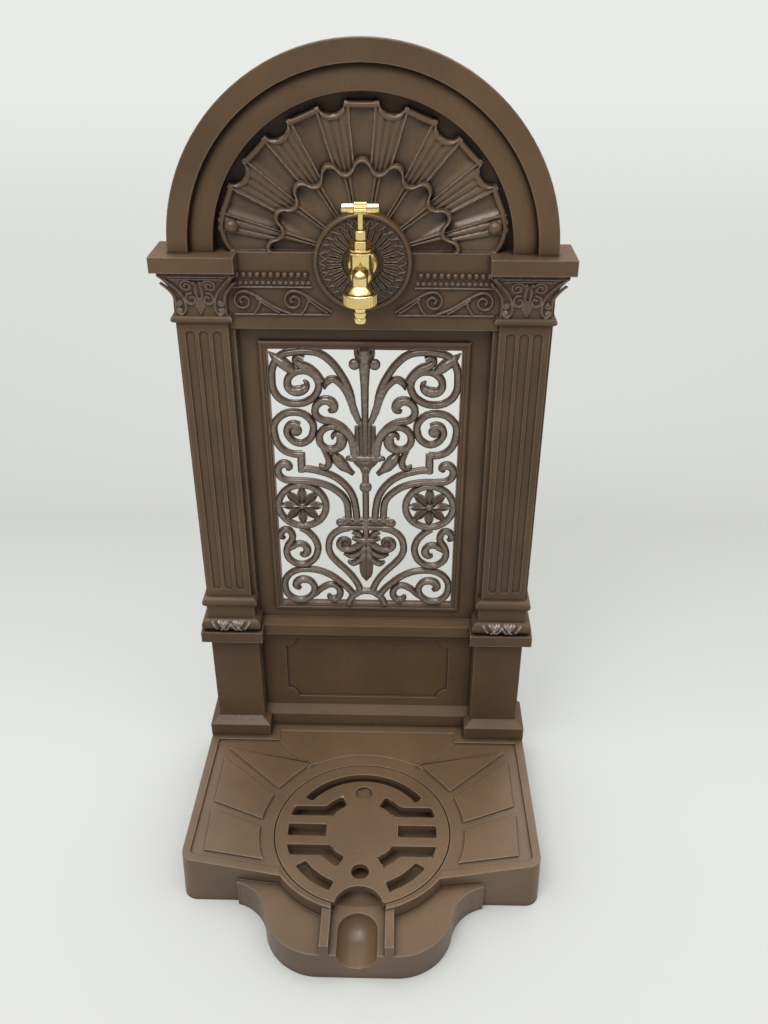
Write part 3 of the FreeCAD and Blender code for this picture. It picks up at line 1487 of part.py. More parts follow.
def make_hose_tail():
    """A flange under the washer, a plain neck through the nut, then ridges that grip a hose."""
    profile = [
        ("tail_bore", "0"),
        ("tail_flange_radius", "0"),
        ("tail_flange_radius", "-tail_flange"),
        ("tail_collar_radius", "-tail_flange"),
        ("tail_collar_radius", "-tail_flange - union_nut_lip - tail_collar_end"),
    ]
    start = "tail_flange + union_nut_lip + tail_collar_end"
    count = round(number("tail_barbs"))
    pitch = f"(tail_length - union_nut_lip - tail_collar_end) / {count}"
    for index in range(count):
        top = f"-({start}) - ({pitch}) * {index}"
        if index > 0:
            profile.append(("tail_neck_radius", top))
        profile.append(("tail_barb_radius", top))
        profile.append(("tail_barb_radius", f"{top} - tail_barb_land"))
        profile.append(("tail_neck_radius", f"{top} - ({pitch}) + edge_chamfer"))
    profile.append(("tail_bore", f"-({start}) - ({pitch}) * {count} + edge_chamfer"))
    return turned("hose_tail", profile, y="spout_y", z="tail_top")


def make_locknut():
    span = ("locknut_start", "locknut_end")
    return cut(
        "tap_locknut",
        hexagon("locknut_hex", "y", "locknut_across", span, z="tap_z"),
        rod("locknut_bore", "y", "shank_radius + thread_clearance", span, z="tap_z"),
    )


NODES = [
    make_basin(),
    make_grate(),
    make_panel(),
    make_shell(),
    make_grille(),
    make_grille_studs(),
    make_grille_nuts(),
    make_panel_bolts(),
    make_panel_washers(),
    make_rosette(),
    make_wall_flange(),
    make_tap_body(),
    make_locknut(),
    make_washer("locknut_washer", "shank_radius + hole_clearance", "locknut_washer_radius",
                "locknut_washer_thickness", axis="y", y="seat_rear", z="tap_z"),
    make_bonnet(),
    make_washer("bonnet_washer", "chamber_radius + thread_clearance", "lip_radius - edge_chamfer / 2",
                "bonnet_washer_thickness", y="spindle_y", z="neck_top"),
    make_gland_nut(),
    make_washer("gland_packing", "stem_bore", "gland_neck_radius", "gland_roof - gland_neck_top",
                y="spindle_y", z="gland_neck_top"),
    make_spindle(),
    make_handle_bar(),
    make_jumper(),
    make_washer("jumper_washer", "jumper_stem_radius", "jumper_washer_radius", "jumper_washer_thickness",
                y="spindle_y", z="valve_seat"),
    make_union_nut(),
    make_washer("union_washer", "union_washer_bore", "tail_flange_radius", "union_washer_thickness",
                y="spout_y", z="tail_top"),
    make_hose_tail(),
]

doc.recompute()

faulty = [thing.Label for thing in doc.Objects if {"Invalid", "Error"} & set(thing.State)]
if faulty:
    raise RuntimeError(f"these failed: {faulty}")
for node in NODES:
    if node.Shape.isNull() or not node.Shape.isValid() or not node.Shape.Solids:
        raise RuntimeError(f"{node.Label} has no valid solid")

os.makedirs("parts", exist_ok=True)
for node in NODES:
    node.Shape.exportStep(f"parts/{node.Label}.step")
    box = node.Shape.BoundBox
    print(f"{node.Label}: {len(node.Shape.Solids)} solid(s), {node.Shape.Volume / 1000:.1f} cm3,"
          f" {box.XLength:.1f} x {box.YLength:.1f} x {box.ZLength:.1f} mm")
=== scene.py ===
import math

import bpy
from mathutils import Matrix, Vector


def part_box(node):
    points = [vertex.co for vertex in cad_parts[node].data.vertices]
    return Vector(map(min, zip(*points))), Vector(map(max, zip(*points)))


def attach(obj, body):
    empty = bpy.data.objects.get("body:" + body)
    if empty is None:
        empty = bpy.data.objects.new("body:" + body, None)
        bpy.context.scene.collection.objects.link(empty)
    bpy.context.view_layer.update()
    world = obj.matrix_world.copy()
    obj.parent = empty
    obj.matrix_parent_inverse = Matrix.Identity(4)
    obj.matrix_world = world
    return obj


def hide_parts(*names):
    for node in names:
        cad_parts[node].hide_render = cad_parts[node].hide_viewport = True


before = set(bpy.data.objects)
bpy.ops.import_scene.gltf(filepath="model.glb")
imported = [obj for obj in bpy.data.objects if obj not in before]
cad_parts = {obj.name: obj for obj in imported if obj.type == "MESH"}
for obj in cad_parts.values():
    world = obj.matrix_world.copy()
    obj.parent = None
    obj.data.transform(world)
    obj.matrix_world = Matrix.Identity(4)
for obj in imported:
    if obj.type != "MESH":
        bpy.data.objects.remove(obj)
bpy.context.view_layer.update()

# Basin: one iron casting with two wings, a bowl under the grate and a front apron with a gutter.
# It is sprayed with warm brown paint, darkened in the corners by a dark wash and painted shade,
# and rubbed lighter on the edges.
MM = 0.001
MERGE_DISTANCE = 1e-6
SHARP_ANGLE = 28
SMOOTH_ANGLE = 50
ROUNDING_STEPS = 2
CORNER_STEPS = 4
CAST_ROUNDING = 0.8 * MM
CLOUD_SCALE = 9.0
STREAK_SCALE = 22.0
SPECK_SCALE = 260.0
GRAIN_SCALE = 700.0
CORNER_SHADE_REACH = 16 * MM
CREVICE_SHADE_REACH = 4.5 * MM
EDGE_REACH = 2 * MM
PIT_DEPTH = 0.5 * MM
PIT_STRENGTH = 0.05
BROWN = (0.118, 0.070, 0.037, 1)
WASH_AND_PAINTED_SHADE = (0.020, 0.013, 0.008, 1)
RUBBED = (0.36, 0.29, 0.235, 1)
FLAT_STREAKS = (18, 1.6, 18)


def fill(material, node, values):
    """Sets a shader node's inputs to plain values, or links them to other nodes' sockets."""
    for key, value in values.items():
        if isinstance(value, bpy.types.NodeSocket):
            material.node_tree.links.new(value, node.inputs[key])
        else:
            node.inputs[key].default_value = value


def add_node(material, kind, values, **settings):
    made = material.node_tree.nodes.new(kind)
    for key, value in settings.items():
        setattr(made, key, value)
    fill(material, made, values)
    return made


def mixed(material, share, first, second):
    """The first colour, with a share of the second over it."""
    return add_node(material, "ShaderNodeMix", {0: share, 6: first, 7: second}, data_type="RGBA").outputs[2]


def ranged(material, value, low, high, to_low=0.0, to_high=1.0):
    """A value between two limits, spread over another range."""
    return add_node(material, "ShaderNodeMapRange", {
        "Value": value, "From Min": low, "From Max": high, "To Min": to_low, "To Max": to_high,
    }).outputs["Result"]


def worked(material, operation, first, second):
    return add_node(material, "ShaderNodeMath", {0: first, 1: second}, operation=operation).outputs["Value"]


def noise(material, place, scale, detail):
    return add_node(material, "ShaderNodeTexNoise", {
        "Vector": place, "Scale": scale, "Detail": detail,
    }).outputs["Fac"]


def openness(material, reach, inside=False):
    """How open the surface is within a reach: low in corners or, measured inside the piece, at edges."""
    return add_node(
        material, "ShaderNodeAmbientOcclusion", {"Distance": reach}, samples=8, inside=inside
    ).outputs["AO"]


def bumped(material, height, strength, depth):
    return add_node(material, "ShaderNodeBump", {
        "Strength": strength, "Distance": depth, "Height": height,
    }).outputs["Normal"]


def shaded(colour, share):
    return [min(1.0, channel * share) for channel in colour[:3]] + [1]


def new_material(name):
    """A material with nodes, and the socket of its Object coordinates."""
    material = bpy.data.materials.new(name)
    material.use_nodes = True
    return material, add_node(material, "ShaderNodeTexCoord", {}).outputs["Object"]


def finished(material, values):
    fill(material, material.node_tree.nodes["Principled BSDF"], values)
    return material


def painted_iron(name, colour, rubbed, streaks, rub, roughness, tops=None, metal=0.45, gloss=0.3):
    """Brown casting paint: cloudy, faintly streaked by the brush, darkened in corners and crevices by a
    dark wash and painted shade, and rubbed to a metal shine on edges and, where two depths are given, on
    the tops between them."""
    material, place = new_material(name)
    drawn = add_node(material, "ShaderNodeMapping", {"Vector": place, "Scale": streaks}).outputs["Vector"]
    cloud = noise(material, place, CLOUD_SCALE, 6.0)
    streak = noise(material, drawn, STREAK_SCALE, 4.0)
    speck = noise(material, place, SPECK_SCALE, 3.0)
    grain = noise(material, place, GRAIN_SCALE, 2.0)
    deep = shaded(colour, 0.80)
    tone = mixed(material, ranged(material, cloud, 0.36, 0.66), deep, shaded(colour, 1.14))
    tone = mixed(material, ranged(material, streak, 0.46, 0.72, 0.0, 0.35), tone, deep)
    # Painted shade: broad corners and, more strongly, tight crevices are darkened towards the wash colour,
    # partly a dark wash and partly shade.
    corner = openness(material, CORNER_SHADE_REACH)
    tone = mixed(material, ranged(material, corner, 0.20, 0.85, 0.55, 0.0), tone, WASH_AND_PAINTED_SHADE)
    crevice_shade = openness(material, CREVICE_SHADE_REACH)
    tone = mixed(material, ranged(material, crevice_shade, 0.42, 0.96, 0.92, 0.0), tone, WASH_AND_PAINTED_SHADE)
    edge = ranged(material, openness(material, EDGE_REACH, inside=True), 0.86, 0.50, 0.0, rub)
    if tops:
        depth = add_node(material, "ShaderNodeSeparateXYZ", {"Vector": place}).outputs["Y"]
        edge = worked(material, "MAXIMUM", edge, ranged(material, depth, *tops, 0.0, rub))
    worn = worked(material, "MULTIPLY", edge, ranged(material, speck, 0.36, 0.56, 0.35, 1.0))
    return finished(material, {
        "Base Color": mixed(material, worn, tone, rubbed),
        "Roughness": ranged(material, speck, 0.3, 0.7, roughness - 0.06, roughness + 0.08),
        "Metallic": ranged(material, worn, 0.0, 1.0, 0.0, metal),
        "Specular IOR Level": gloss,
        "Normal": bumped(material, grain, PIT_STRENGTH, PIT_DEPTH),
    })


def prism(name, outline, low, high):
    """An upright prism over an outline that runs anticlockwise in plan."""
    count = len(outline)
    points = [(x, y, z) for z in (low, high) for x, y in outline]
    walls = [(i, (i + 1) % count, (i + 1) % count + count, i + count) for i in range(count)]
    mesh = bpy.data.meshes.new(name)
    mesh.from_pydata(points, [], walls + [range(count)[::-1], range(count, 2 * count)])
    piece = bpy.data.objects.new(name, mesh)
    bpy.context.collection.objects.link(piece)
    return piece


def select_only(*pieces):
    bpy.ops.object.select_all(action="DESELECT")
    for piece in pieces:
        piece.select_set(True)
    bpy.context.view_layer.objects.active = pieces[0]


def apply_modifier(piece, kind, **settings):
    modifier = piece.modifiers.new(kind.lower(), kind)
    for key, value in settings.items():
        setattr(modifier, key, value)
    bpy.ops.object.modifier_apply(modifier=modifier.name)


def select_sharp():
    """Selects the sharp edges of the mesh in edit mode, and goes back to object mode."""
    bpy.ops.mesh.select_mode(type="EDGE")
    bpy.ops.mesh.select_all(action="DESELECT")
    bpy.ops.mesh.edges_select_sharp(sharpness=math.radians(SHARP_ANGLE))
    bpy.ops.object.mode_set(mode="OBJECT")


def edge_run(piece, edge):
    first, second = (piece.data.vertices[index].co for index in edge.vertices)
    return second - first


def softened(node, name, radius, corner=0.0, shortest=0.0, cutters=()):
    """A copy of a node's mesh, cut and merged to clean faces, its upright corners and sharp edges rounded.
    Edges under the shortest length, such as those round a small hole, stay sharp."""
    piece = bpy.data.objects.new(name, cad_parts[node].data.copy())
    bpy.context.collection.objects.link(piece)
    select_only(piece)
    bpy.ops.mesh.customdata_custom_splitnormals_clear()
    bpy.ops.object.mode_set(mode="EDIT")
    bpy.ops.mesh.select_all(action="SELECT")
    bpy.ops.mesh.remove_doubles(threshold=MERGE_DISTANCE)
    bpy.ops.object.mode_set(mode="OBJECT")
    for cutter in cutters:
        apply_modifier(piece, "BOOLEAN", operation="DIFFERENCE", object=cutter)
        bpy.data.objects.remove(cutter)
    bpy.ops.object.mode_set(mode="EDIT")
    bpy.ops.mesh.select_all(action="SELECT")
    bpy.ops.mesh.remove_doubles(threshold=MERGE_DISTANCE)
    bpy.ops.mesh.dissolve_limited(angle_limit=math.radians(1))
    bpy.ops.mesh.quads_convert_to_tris(quad_method="BEAUTY", ngon_method="BEAUTY")
    if corner:
        select_sharp()
        for edge in piece.data.edges:
            edge.select = edge.select and edge_run(piece, edge).xy.length < MERGE_DISTANCE
        bpy.ops.object.mode_set(mode="EDIT")
        bpy.ops.mesh.bevel(offset=corner, segments=CORNER_STEPS, affect="EDGES", clamp_overlap=True)
    select_sharp()
    rounded = piece.data.attributes.new("bevel_weight_edge", "FLOAT", "EDGE")
    for edge in piece.data.edges:
        rounded.data[edge.index].value = float(edge.select and edge_run(piece, edge).length > shortest)
    apply_modifier(
        piece, "BEVEL", width=radius, segments=ROUNDING_STEPS,
        limit_method="WEIGHT", use_clamp_overlap=False,
    )
    bpy.ops.object.shade_smooth_by_angle(angle=math.radians(SMOOTH_ANGLE))
    apply_modifier(piece, "WEIGHTED_NORMAL", keep_sharp=True, weight=90)
    return piece


def dress(piece, material, body, slot, *nodes):
    """Gives a piece its finish, the body that it rides on and the nodes that it stands for."""
    piece.data.materials.clear()
    piece.data.materials.append(material)
    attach(piece, body)
    if nodes:
        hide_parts(*nodes)


FIELD_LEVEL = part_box("grate")[1].z
STRIP_TOP = FIELD_LEVEL + 4 * MM
# The sunken strip between each wing's front pad and the slanted rim, in plan, on the right
STRIP_PLAN = [(196, -69.26), (192, -61.4), (115.4, -74.42), (118.3, -68), (104, -68), (96.2, -86.55)]
strips = [
    prism("strip_right", [(x * MM, y * MM) for x, y in STRIP_PLAN], FIELD_LEVEL, STRIP_TOP),
    prism("strip_left", [(-x * MM, y * MM) for x, y in reversed(STRIP_PLAN)], FIELD_LEVEL, STRIP_TOP),
]
flat_paint = painted_iron(
    "brown_paint_flat", BROWN, RUBBED, FLAT_STREAKS, rub=0.65, roughness=0.40, gloss=0.5
)
basin = softened("basin", "basin_casting", CAST_ROUNDING, cutters=strips)
dress(basin, flat_paint, "fountain", "brown_paint", "basin")

# Grate: a round slotted plate of the same painted iron, loose in its seat round the bowl.
# A finger hole and a front notch let it be lifted out.
SLOT_CORNER = 2.8 * MM
grate = softened("grate", "grate_plate", CAST_ROUNDING, corner=SLOT_CORNER)
dress(grate, flat_paint, "grate", "brown_paint", "grate")

# Back panel: plinth, pilasters, entablature and arch in one casting, hollow behind.
# It is painted like the basin but a shade darker, as painted shade on its upright faces, and its brushed
# streaks run up and down.
PANEL_ROUNDING = 0.5 * MM
PANEL_SHORTEST = 0.5 * MM
# A darker copy of the basin's brown for the upright faces: painted shade.
UPRIGHT_BROWN_IN_PAINTED_SHADE = (0.108, 0.064, 0.034, 1)
UPRIGHT_STREAKS = (18, 18, 1.6)
upright_paint_shaded = painted_iron(
    "brown_paint_upright_shaded", UPRIGHT_BROWN_IN_PAINTED_SHADE, RUBBED, UPRIGHT_STREAKS, rub=0.60, roughness=0.40, gloss=0.22
)
panel = softened("back_panel", "panel_casting", PANEL_ROUNDING, shortest=PANEL_SHORTEST)
dress(panel, upright_paint_shaded, "fountain", "brown_paint", "back_panel")

# Shell: a scalloped casting in the niche, with seven flutes between reeded bands and an inner fan of
# petals. It is cast in iron, painted brown and rubbed silvery along its rolled rims.
# Lengths are in millimetres from the tap's axis or the niche's floor, and angles in degrees from upright.
SHELL_RADIUS = 152
SHELL_INNER = 46.5
SHELL_PITCH = 22.3
SHELL_BASE = 7.6
SHELL_FLARE = 3.4
SHELL_COLUMNS = 620
SHELL_ROWS = 116
LOBE_BULGE = 1.5
BITE_HALF = 4.7
BITE_DEPTH = 9
LAST_BITE = 3.2 * SHELL_PITCH
END_DROP = 14
END_SPAN = 16
END_FLARE = 79.5
END_CURL = 0.02
FLUTE_DEPTH = 4.8
REED_HALF = 6.4
REED_STEP = 3.2
REED_BASE = 1.0
REED_HEIGHT = 1.5
LIP_WIDTH = 6.5
LIP_BASE = 11.0
LIP_HEIGHT = 3.2
FAN_PITCH = 20.7
FAN_PEAK = 101
FAN_VALLEY = 88
FAN_BASE = 8.5
FAN_RISE = 4.0
FAN_HOLLOW = 7.0
FAN_LIP_WIDTH = 5.5
FAN_LIP_BASE = 12.5
FAN_LIP_HEIGHT = 5.0
RIB_HALF = 3.0
RIB_BASE = 0.8
RIB_HEIGHT = 2.2
END_BALL_RADIUS = 7.5
END_BALL_REACH = 138
END_BALL_ANGLE = 76
END_BALL_RISE = 13
SILVERED = (0.44, 0.39, 0.35, 1)
RELIEF_STREAKS = (9, 9, 3)
SHELL_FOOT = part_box("shell")[0].z
NICHE_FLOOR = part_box("shell")[1].y
TAP_Z = (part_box("tap_rosette")[0].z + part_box("tap_rosette")[1].z) / 2


def shaped_grid(name, columns, rows, place):
    """A grid whose points are put in place by a formula of two shares, with its seams merged."""
    bpy.ops.object.select_all(action="DESELECT")
    bpy.ops.mesh.primitive_grid_add(x_subdivisions=columns, y_subdivisions=rows, size=1)
    piece = bpy.context.object
    piece.name = name
    for vertex in piece.data.vertices:
        vertex.co = place(vertex.co.x + 0.5, vertex.co.y + 0.5)
    bpy.ops.object.mode_set(mode="EDIT")
    bpy.ops.mesh.select_all(action="SELECT")
    bpy.ops.mesh.remove_doubles(threshold=MERGE_DISTANCE)
    bpy.ops.mesh.normals_make_consistent(inside=False)
    bpy.ops.object.mode_set(mode="OBJECT")
    return piece


def relief(name, columns, rows, place, back):
    """A closed casting: a grid pushed into its front surface, with straight sides and a flat back."""
    piece = shaped_grid(name, columns, rows, place)
    bpy.ops.object.mode_set(mode="EDIT")
    bpy.ops.mesh.select_all(action="SELECT")
    bpy.ops.mesh.region_to_loop()
    bpy.ops.mesh.extrude_region_move()
    bpy.ops.transform.resize(value=(1, 0, 1), center_override=(0, back, 0))
    bpy.ops.mesh.edge_face_add()
    bpy.ops.mesh.select_all(action="SELECT")
    bpy.ops.mesh.normals_make_consistent(inside=False)
    bpy.ops.object.mode_set(mode="OBJECT")
    bpy.ops.object.shade_smooth_by_angle(angle=math.radians(SMOOTH_ANGLE))
    return piece


def rolled(distance, width, height):
    """Height of a round bead of some width at a distance inside its outer edge."""
    if not 0 <= distance <= width:
        return 0.0
    return height * math.sqrt(max(0.0, 1 - (2 * distance / width - 1) ** 2))


def off_valley(angle, pitch):
    """Degrees from an angle to the nearest valley between lobes of some pitch."""
    return abs((angle / pitch) % 1 - 0.5) * pitch


def shell_rim(angle):
    """Radius of the shell's rim at an angle: lobes with hollow bites between them."""
    from_bite = off_valley(angle, SHELL_PITCH)
    if abs(angle) > LAST_BITE:
        return SHELL_RADIUS - END_DROP * ((abs(angle) - LAST_BITE) / END_SPAN) ** 2.5
    if from_bite < BITE_HALF:
        return SHELL_RADIUS - BITE_DEPTH * math.sqrt(1 - (from_bite / BITE_HALF) ** 2)
    return SHELL_RADIUS + LOBE_BULGE * (1 - (from_bite - BITE_HALF) / (SHELL_PITCH / 2 - BITE_HALF)) ** 2


def fan_rim(angle):
    wave = math.cos(2 * math.pi * angle / FAN_PITCH)
    wave = math.copysign(abs(wave) ** 0.7, wave)
    return (FAN_PEAK + FAN_VALLEY) / 2 + (FAN_PEAK - FAN_VALLEY) / 2 * wave


def flute_height(angle, radius):
    """How far the outer flutes and reeds stand forward, with the lip at their rim."""
    out = max(0.0, (radius - FAN_VALLEY) / (SHELL_RADIUS - FAN_VALLEY))
    rise = SHELL_BASE + SHELL_FLARE * out ** 1.3
    from_bite = off_valley(angle, SHELL_PITCH)
    if abs(angle) > END_FLARE:
        rise += END_CURL * (abs(angle) - END_FLARE) ** 2
    elif from_bite < REED_HALF:
        rise += REED_BASE + REED_HEIGHT * abs(math.cos(math.pi * from_bite / REED_STEP))
    else:
        across = (from_bite - REED_HALF) / (SHELL_PITCH / 2 - REED_HALF)
        rise -= FLUTE_DEPTH * (1 - (1 - across) ** 2)
    inside = shell_rim(angle) - radius
    if inside < LIP_WIDTH:
        rise = max(rise, LIP_BASE + rolled(inside, LIP_WIDTH, LIP_HEIGHT))
    return rise


def fan_height(angle, radius):
    """How far the inner fan's petals and double ribs stand forward, with the lip at their rim."""
    out = (radius - SHELL_INNER) / (fan_rim(angle) - SHELL_INNER)
    rise = FAN_BASE + FAN_RISE * out
    from_valley = off_valley(angle, FAN_PITCH)
    if from_valley < RIB_HALF:
        rise += RIB_HEIGHT * abs(math.sin(math.pi * from_valley / RIB_HALF)) ** 0.6 + RIB_BASE
    else:
        across = (from_valley - RIB_HALF) / (FAN_PITCH / 2 - RIB_HALF)
        rise -= FAN_HOLLOW * (1 - (1 - across) ** 2) * out ** 1.5
    inside = fan_rim(angle) - radius
    if inside < FAN_LIP_WIDTH:
        rise = max(rise, FAN_LIP_BASE + rolled(inside, FAN_LIP_WIDTH, FAN_LIP_HEIGHT))
    return rise


def shell_point(along, out):
    """A point of the shell's front: along it from end to end, and out from its middle to its rim."""
    radius = SHELL_INNER + out * (SHELL_RADIUS - SHELL_INNER)
    limit = math.degrees(math.acos((SHELL_FOOT - TAP_Z) / MM / radius))
    angle = (along - 0.5) * 2 * limit
    radius = SHELL_INNER + out * (shell_rim(angle) - SHELL_INNER)
    rise = flute_height(angle, radius) if radius > fan_rim(angle) else fan_height(angle, radius)
    ray = math.radians(angle)
    height = max(TAP_Z + radius * math.cos(ray) * MM, SHELL_FOOT)
    return Vector((radius * math.sin(ray) * MM, NICHE_FLOOR - rise * MM, height))


def ball(name, place, radius, rings=12, flat=1.0):
    """A round boss, pressed flatter or drawn longer from front to back."""
    bpy.ops.object.select_all(action="DESELECT")
    bpy.ops.mesh.primitive_uv_sphere_add(
        segments=rings * 2, ring_count=rings, radius=radius, location=place
    )
    piece = bpy.context.object
    piece.name = name
    piece.scale = (1, flat, 1)
    bpy.ops.object.transform_apply(location=True, rotation=True, scale=True)
    bpy.ops.object.shade_smooth()
    return piece


def joined(name, pieces):
    select_only(*pieces)
    bpy.ops.object.join()
    pieces[0].name = name
    return pieces[0]


shell_pieces = [relief("shell_casting", SHELL_COLUMNS, SHELL_ROWS, shell_point, NICHE_FLOOR)]
for side in (-1, 1):
    ray = math.radians(END_BALL_ANGLE * side)
    shell_pieces.append(ball("shell_end", (
        END_BALL_REACH * math.sin(ray) * MM,
        NICHE_FLOOR - END_BALL_RISE * MM,
        TAP_Z + END_BALL_REACH * math.cos(ray) * MM,
    ), END_BALL_RADIUS * MM))
ornament_paint = painted_iron(
    "brown_paint_ornament", BROWN, SILVERED, RELIEF_STREAKS, rub=0.43, roughness=0.31, gloss=0.42
)
dress(joined("shell_casting", shell_pieces), ornament_paint, "fountain", "brown_paint", "shell")

# Rosette: a round cast plate between shell and tap, glossier than the rest, with thirty-two rays, a
# zigzag ring and a smooth round rim. The tap's flange sits in its hub.
# Lengths are in millimetres from the tap's axis or behind the plate's foremost level.
ROSETTE_RADIUS = 51
ROSETTE_RIM = 5
ROSETTE_HUB = 20.5
ROSETTE_HOLE = 11
ROSETTE_RAYS = 32
ROSETTE_ROWS = 84
COLUMNS_PER_RAY = 22
HUB_SLOPE = 0.4
HUB_MARGIN = 1.2
HUB_DEPTH = 6
GROUND_DEPTH = 3.6
RIM_DEPTH = 3.2
RIM_HEIGHT = 3.0
RIDGE_HEIGHT = 2.3
DART_END = 37.5
DART_ROUND = 3.0
DART_HALF = 0.34
DART_TAPER = 0.12
DART_RISE = 0.9
DART_RIDGE = 0.55
ZIGZAG_RADIUS = 41.2
ZIGZAG_HEIGHT = 7.0
ZIGZAG_RIDGE = 0.62
ROSETTE_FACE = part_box("tap_rosette")[0].y
ROSETTE_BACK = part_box("tap_rosette")[1].y
DARK_BROWN = (0.090, 0.053, 0.025, 1)
BRONZED = (0.42, 0.32, 0.22, 1)
ROSETTE_STREAKS = (9, 9, 9)


def rosette_depth(turn, radius):
    """How far the rosette's front lies behind its foremost level, in millimetres."""
    from_edge = ROSETTE_RADIUS - radius
    if from_edge < ROSETTE_RIM:
        return RIM_DEPTH - rolled(from_edge, ROSETTE_RIM, RIM_HEIGHT)
    pitch = 2 * math.pi * radius / ROSETTE_RAYS
    aside = abs((turn * ROSETTE_RAYS) % 1 - 0.5)
    rise = 0.0
    if radius < DART_END:
        inward = (DART_END - radius) / (DART_END - ROSETTE_HUB)
        rounding = math.sqrt(1 - max(0.0, (radius - DART_END + DART_ROUND) / DART_ROUND) ** 2)
        half = (DART_HALF - DART_TAPER * inward) * pitch * rounding
        rise = RIDGE_HEIGHT * math.exp(-(((aside * pitch - half) / DART_RIDGE) ** 2))
        rise = max(rise, DART_RISE if aside * pitch < half else 0.0)
    tooth = ZIGZAG_RADIUS + ZIGZAG_HEIGHT * (2 * aside - 0.5)
    lean = math.cos(math.atan2(2 * ZIGZAG_HEIGHT, pitch))
    zigzag = RIDGE_HEIGHT * math.exp(-(((radius - tooth) * lean / ZIGZAG_RIDGE) ** 2))
    return GROUND_DEPTH - max(rise, zigzag)


def rosette_point(turn, out):
    """A point of the rosette: round it by a share of a turn, and out from the hole's back to the rim."""
    hub = [
        (ROSETTE_HOLE, ROSETTE_BACK), (ROSETTE_HOLE, ROSETTE_FACE + HUB_DEPTH * MM),
        (ROSETTE_HUB, ROSETTE_FACE + HUB_DEPTH * MM),
        (ROSETTE_HUB + HUB_SLOPE, ROSETTE_FACE + GROUND_DEPTH * MM),
    ]
    step = round(out * ROSETTE_ROWS)
    if step < len(hub):
        radius, depth = hub[step]
    else:
        share = (step - len(hub)) / (ROSETTE_ROWS - len(hub))
        radius = ROSETTE_HUB + HUB_MARGIN + share * (ROSETTE_RADIUS - ROSETTE_HUB - HUB_MARGIN)
        depth = ROSETTE_FACE + rosette_depth(turn, radius) * MM
    angle = 2 * math.pi * turn
    return Vector((radius * math.sin(angle) * MM, depth, TAP_Z + radius * math.cos(angle) * MM))


rosette = shaped_grid("rosette_casting", ROSETTE_RAYS * COLUMNS_PER_RAY, ROSETTE_ROWS, rosette_point)
bpy.ops.object.mode_set(mode="EDIT")
bpy.ops.mesh.select_all(action="DESELECT")
bpy.ops.object.mode_set(mode="OBJECT")
edge_reach = (ROSETTE_RADIUS - 0.01) * MM
for edge in rosette.data.edges:
    ends = [rosette.data.vertices[index].co for index in edge.vertices]
    edge.select = all(math.hypot(end.x, end.z - TAP_Z) > edge_reach for end in ends)
bpy.ops.object.mode_set(mode="EDIT")
bpy.ops.mesh.select_mode(type="EDGE")
bpy.ops.mesh.extrude_region_move()
bpy.ops.transform.resize(value=(1, 0, 1), center_override=(0, ROSETTE_BACK, 0))
bpy.ops.mesh.select_all(action="DESELECT")
bpy.ops.mesh.select_non_manifold()
bpy.ops.mesh.bridge_edge_loops()
bpy.ops.mesh.select_all(action="SELECT")
bpy.ops.mesh.normals_make_consistent(inside=False)
bpy.ops.object.mode_set(mode="OBJECT")
bpy.ops.object.shade_smooth_by_angle(angle=math.radians(SMOOTH_ANGLE))
rosette_paint = painted_iron(
    "dark_rosette_paint", DARK_BROWN, BRONZED, ROSETTE_STREAKS, rub=0.50, roughness=0.18,
    metal=0.6, gloss=0.5,
)
dress(rosette, rosette_paint, "fountain", "rosette_paint", "tap_rosette")

# Grille: scrolls, leaves and flowers cast in one flat frame, screwed to the panel from behind.
# Its bars have a half-round ridge on a flat web, painted brown and rubbed silvery on top.
# Lengths are in millimetres from the foot and the middle of the panel's window.
GRILLE_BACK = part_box("grille")[1].y
FRAME_WIDTH = 9.5
WINDOW_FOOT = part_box("grille")[0].z + FRAME_WIDTH * MM
WINDOW_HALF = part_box("grille")[1].x / MM - FRAME_WIDTH
WINDOW_HEIGHT = (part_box("grille")[1].z - WINDOW_FOOT) / MM - FRAME_WIDTH
FRAME_CORNERS = [(-1, 0), (1, 0), (1, 1), (-1, 1)]
FRAME_PROFILE = [
    (0, 0), (0, 2.6), (1.6, 2.6), (2.2, 3.4), (4.8, 3.4), (5.6, 4.6), (8.0, 4.6), (FRAME_WIDTH, 3.4),
    (FRAME_WIDTH, 0),
]
BAR_SIDE = [(3.5, 0), (3.5, 2.5), (2.9, 3.0), (2.5, 4.6), (1.5, 5.7), (0, 6)]
BAR_WIDE = 1.27
BAR_THIN = 0.79
BAR_MERGE_DISTANCE = 1e-7
BAR_SMOOTH_ANGLE = 40
BACK_STEP = 0.02
LEAF_BACK = GRILLE_BACK - 1.0 * MM
LEAF_ROWS = 10
LEAF_NARROWEST = 0.2
VEIN_SHARE = 0.16
BOSS_STAND = 2.4
COLLAR_LEVEL = 210.3
COLLAR_BEADS = (3.9, 9.6, 15.3, 20.2)
COLLAR_BEAD_RADIUS = 3.2
FLOWER_CENTER = (76.6, 144.6)
FLOWER_EYE = 4.4
FLOWER_RING = 28.5
RING_KNOTS = 12
PETALS = 8
PETAL_REACHES = (2.5, 10, 16, 22, 27.5)
PETAL_HALVES = (1, 4.4, 6.0, 4.0, 0.6)
FINIAL_LEAF = [(1, 330), (4.5, 334.5), (7.4, 339), (9.4, 345.5)]
FINIAL_HALVES = (2, 4.2, 4.4, 2.4)
PALMETTE_DROP = [(0, 94), (0, 80), (0, 66), (0, 52), (0, 42), (0, 36.5)]
PALMETTE_HALVES = (5, 6.6, 8.4, 8.6, 6.4, 1.5)
CALYX_CUP = [(0, 209), (0, 203), (0, 196), (0, 189)]
CALYX_HALVES = (16.5, 13.5, 7, 4.4)
# Round bosses: how far across and up, and the radius
EYES = [(79.6, 245.6, 7.2), (11.2, 328, 6.8), (31.2, 121.6, 5.6), (26, 91.2, 3.0)]
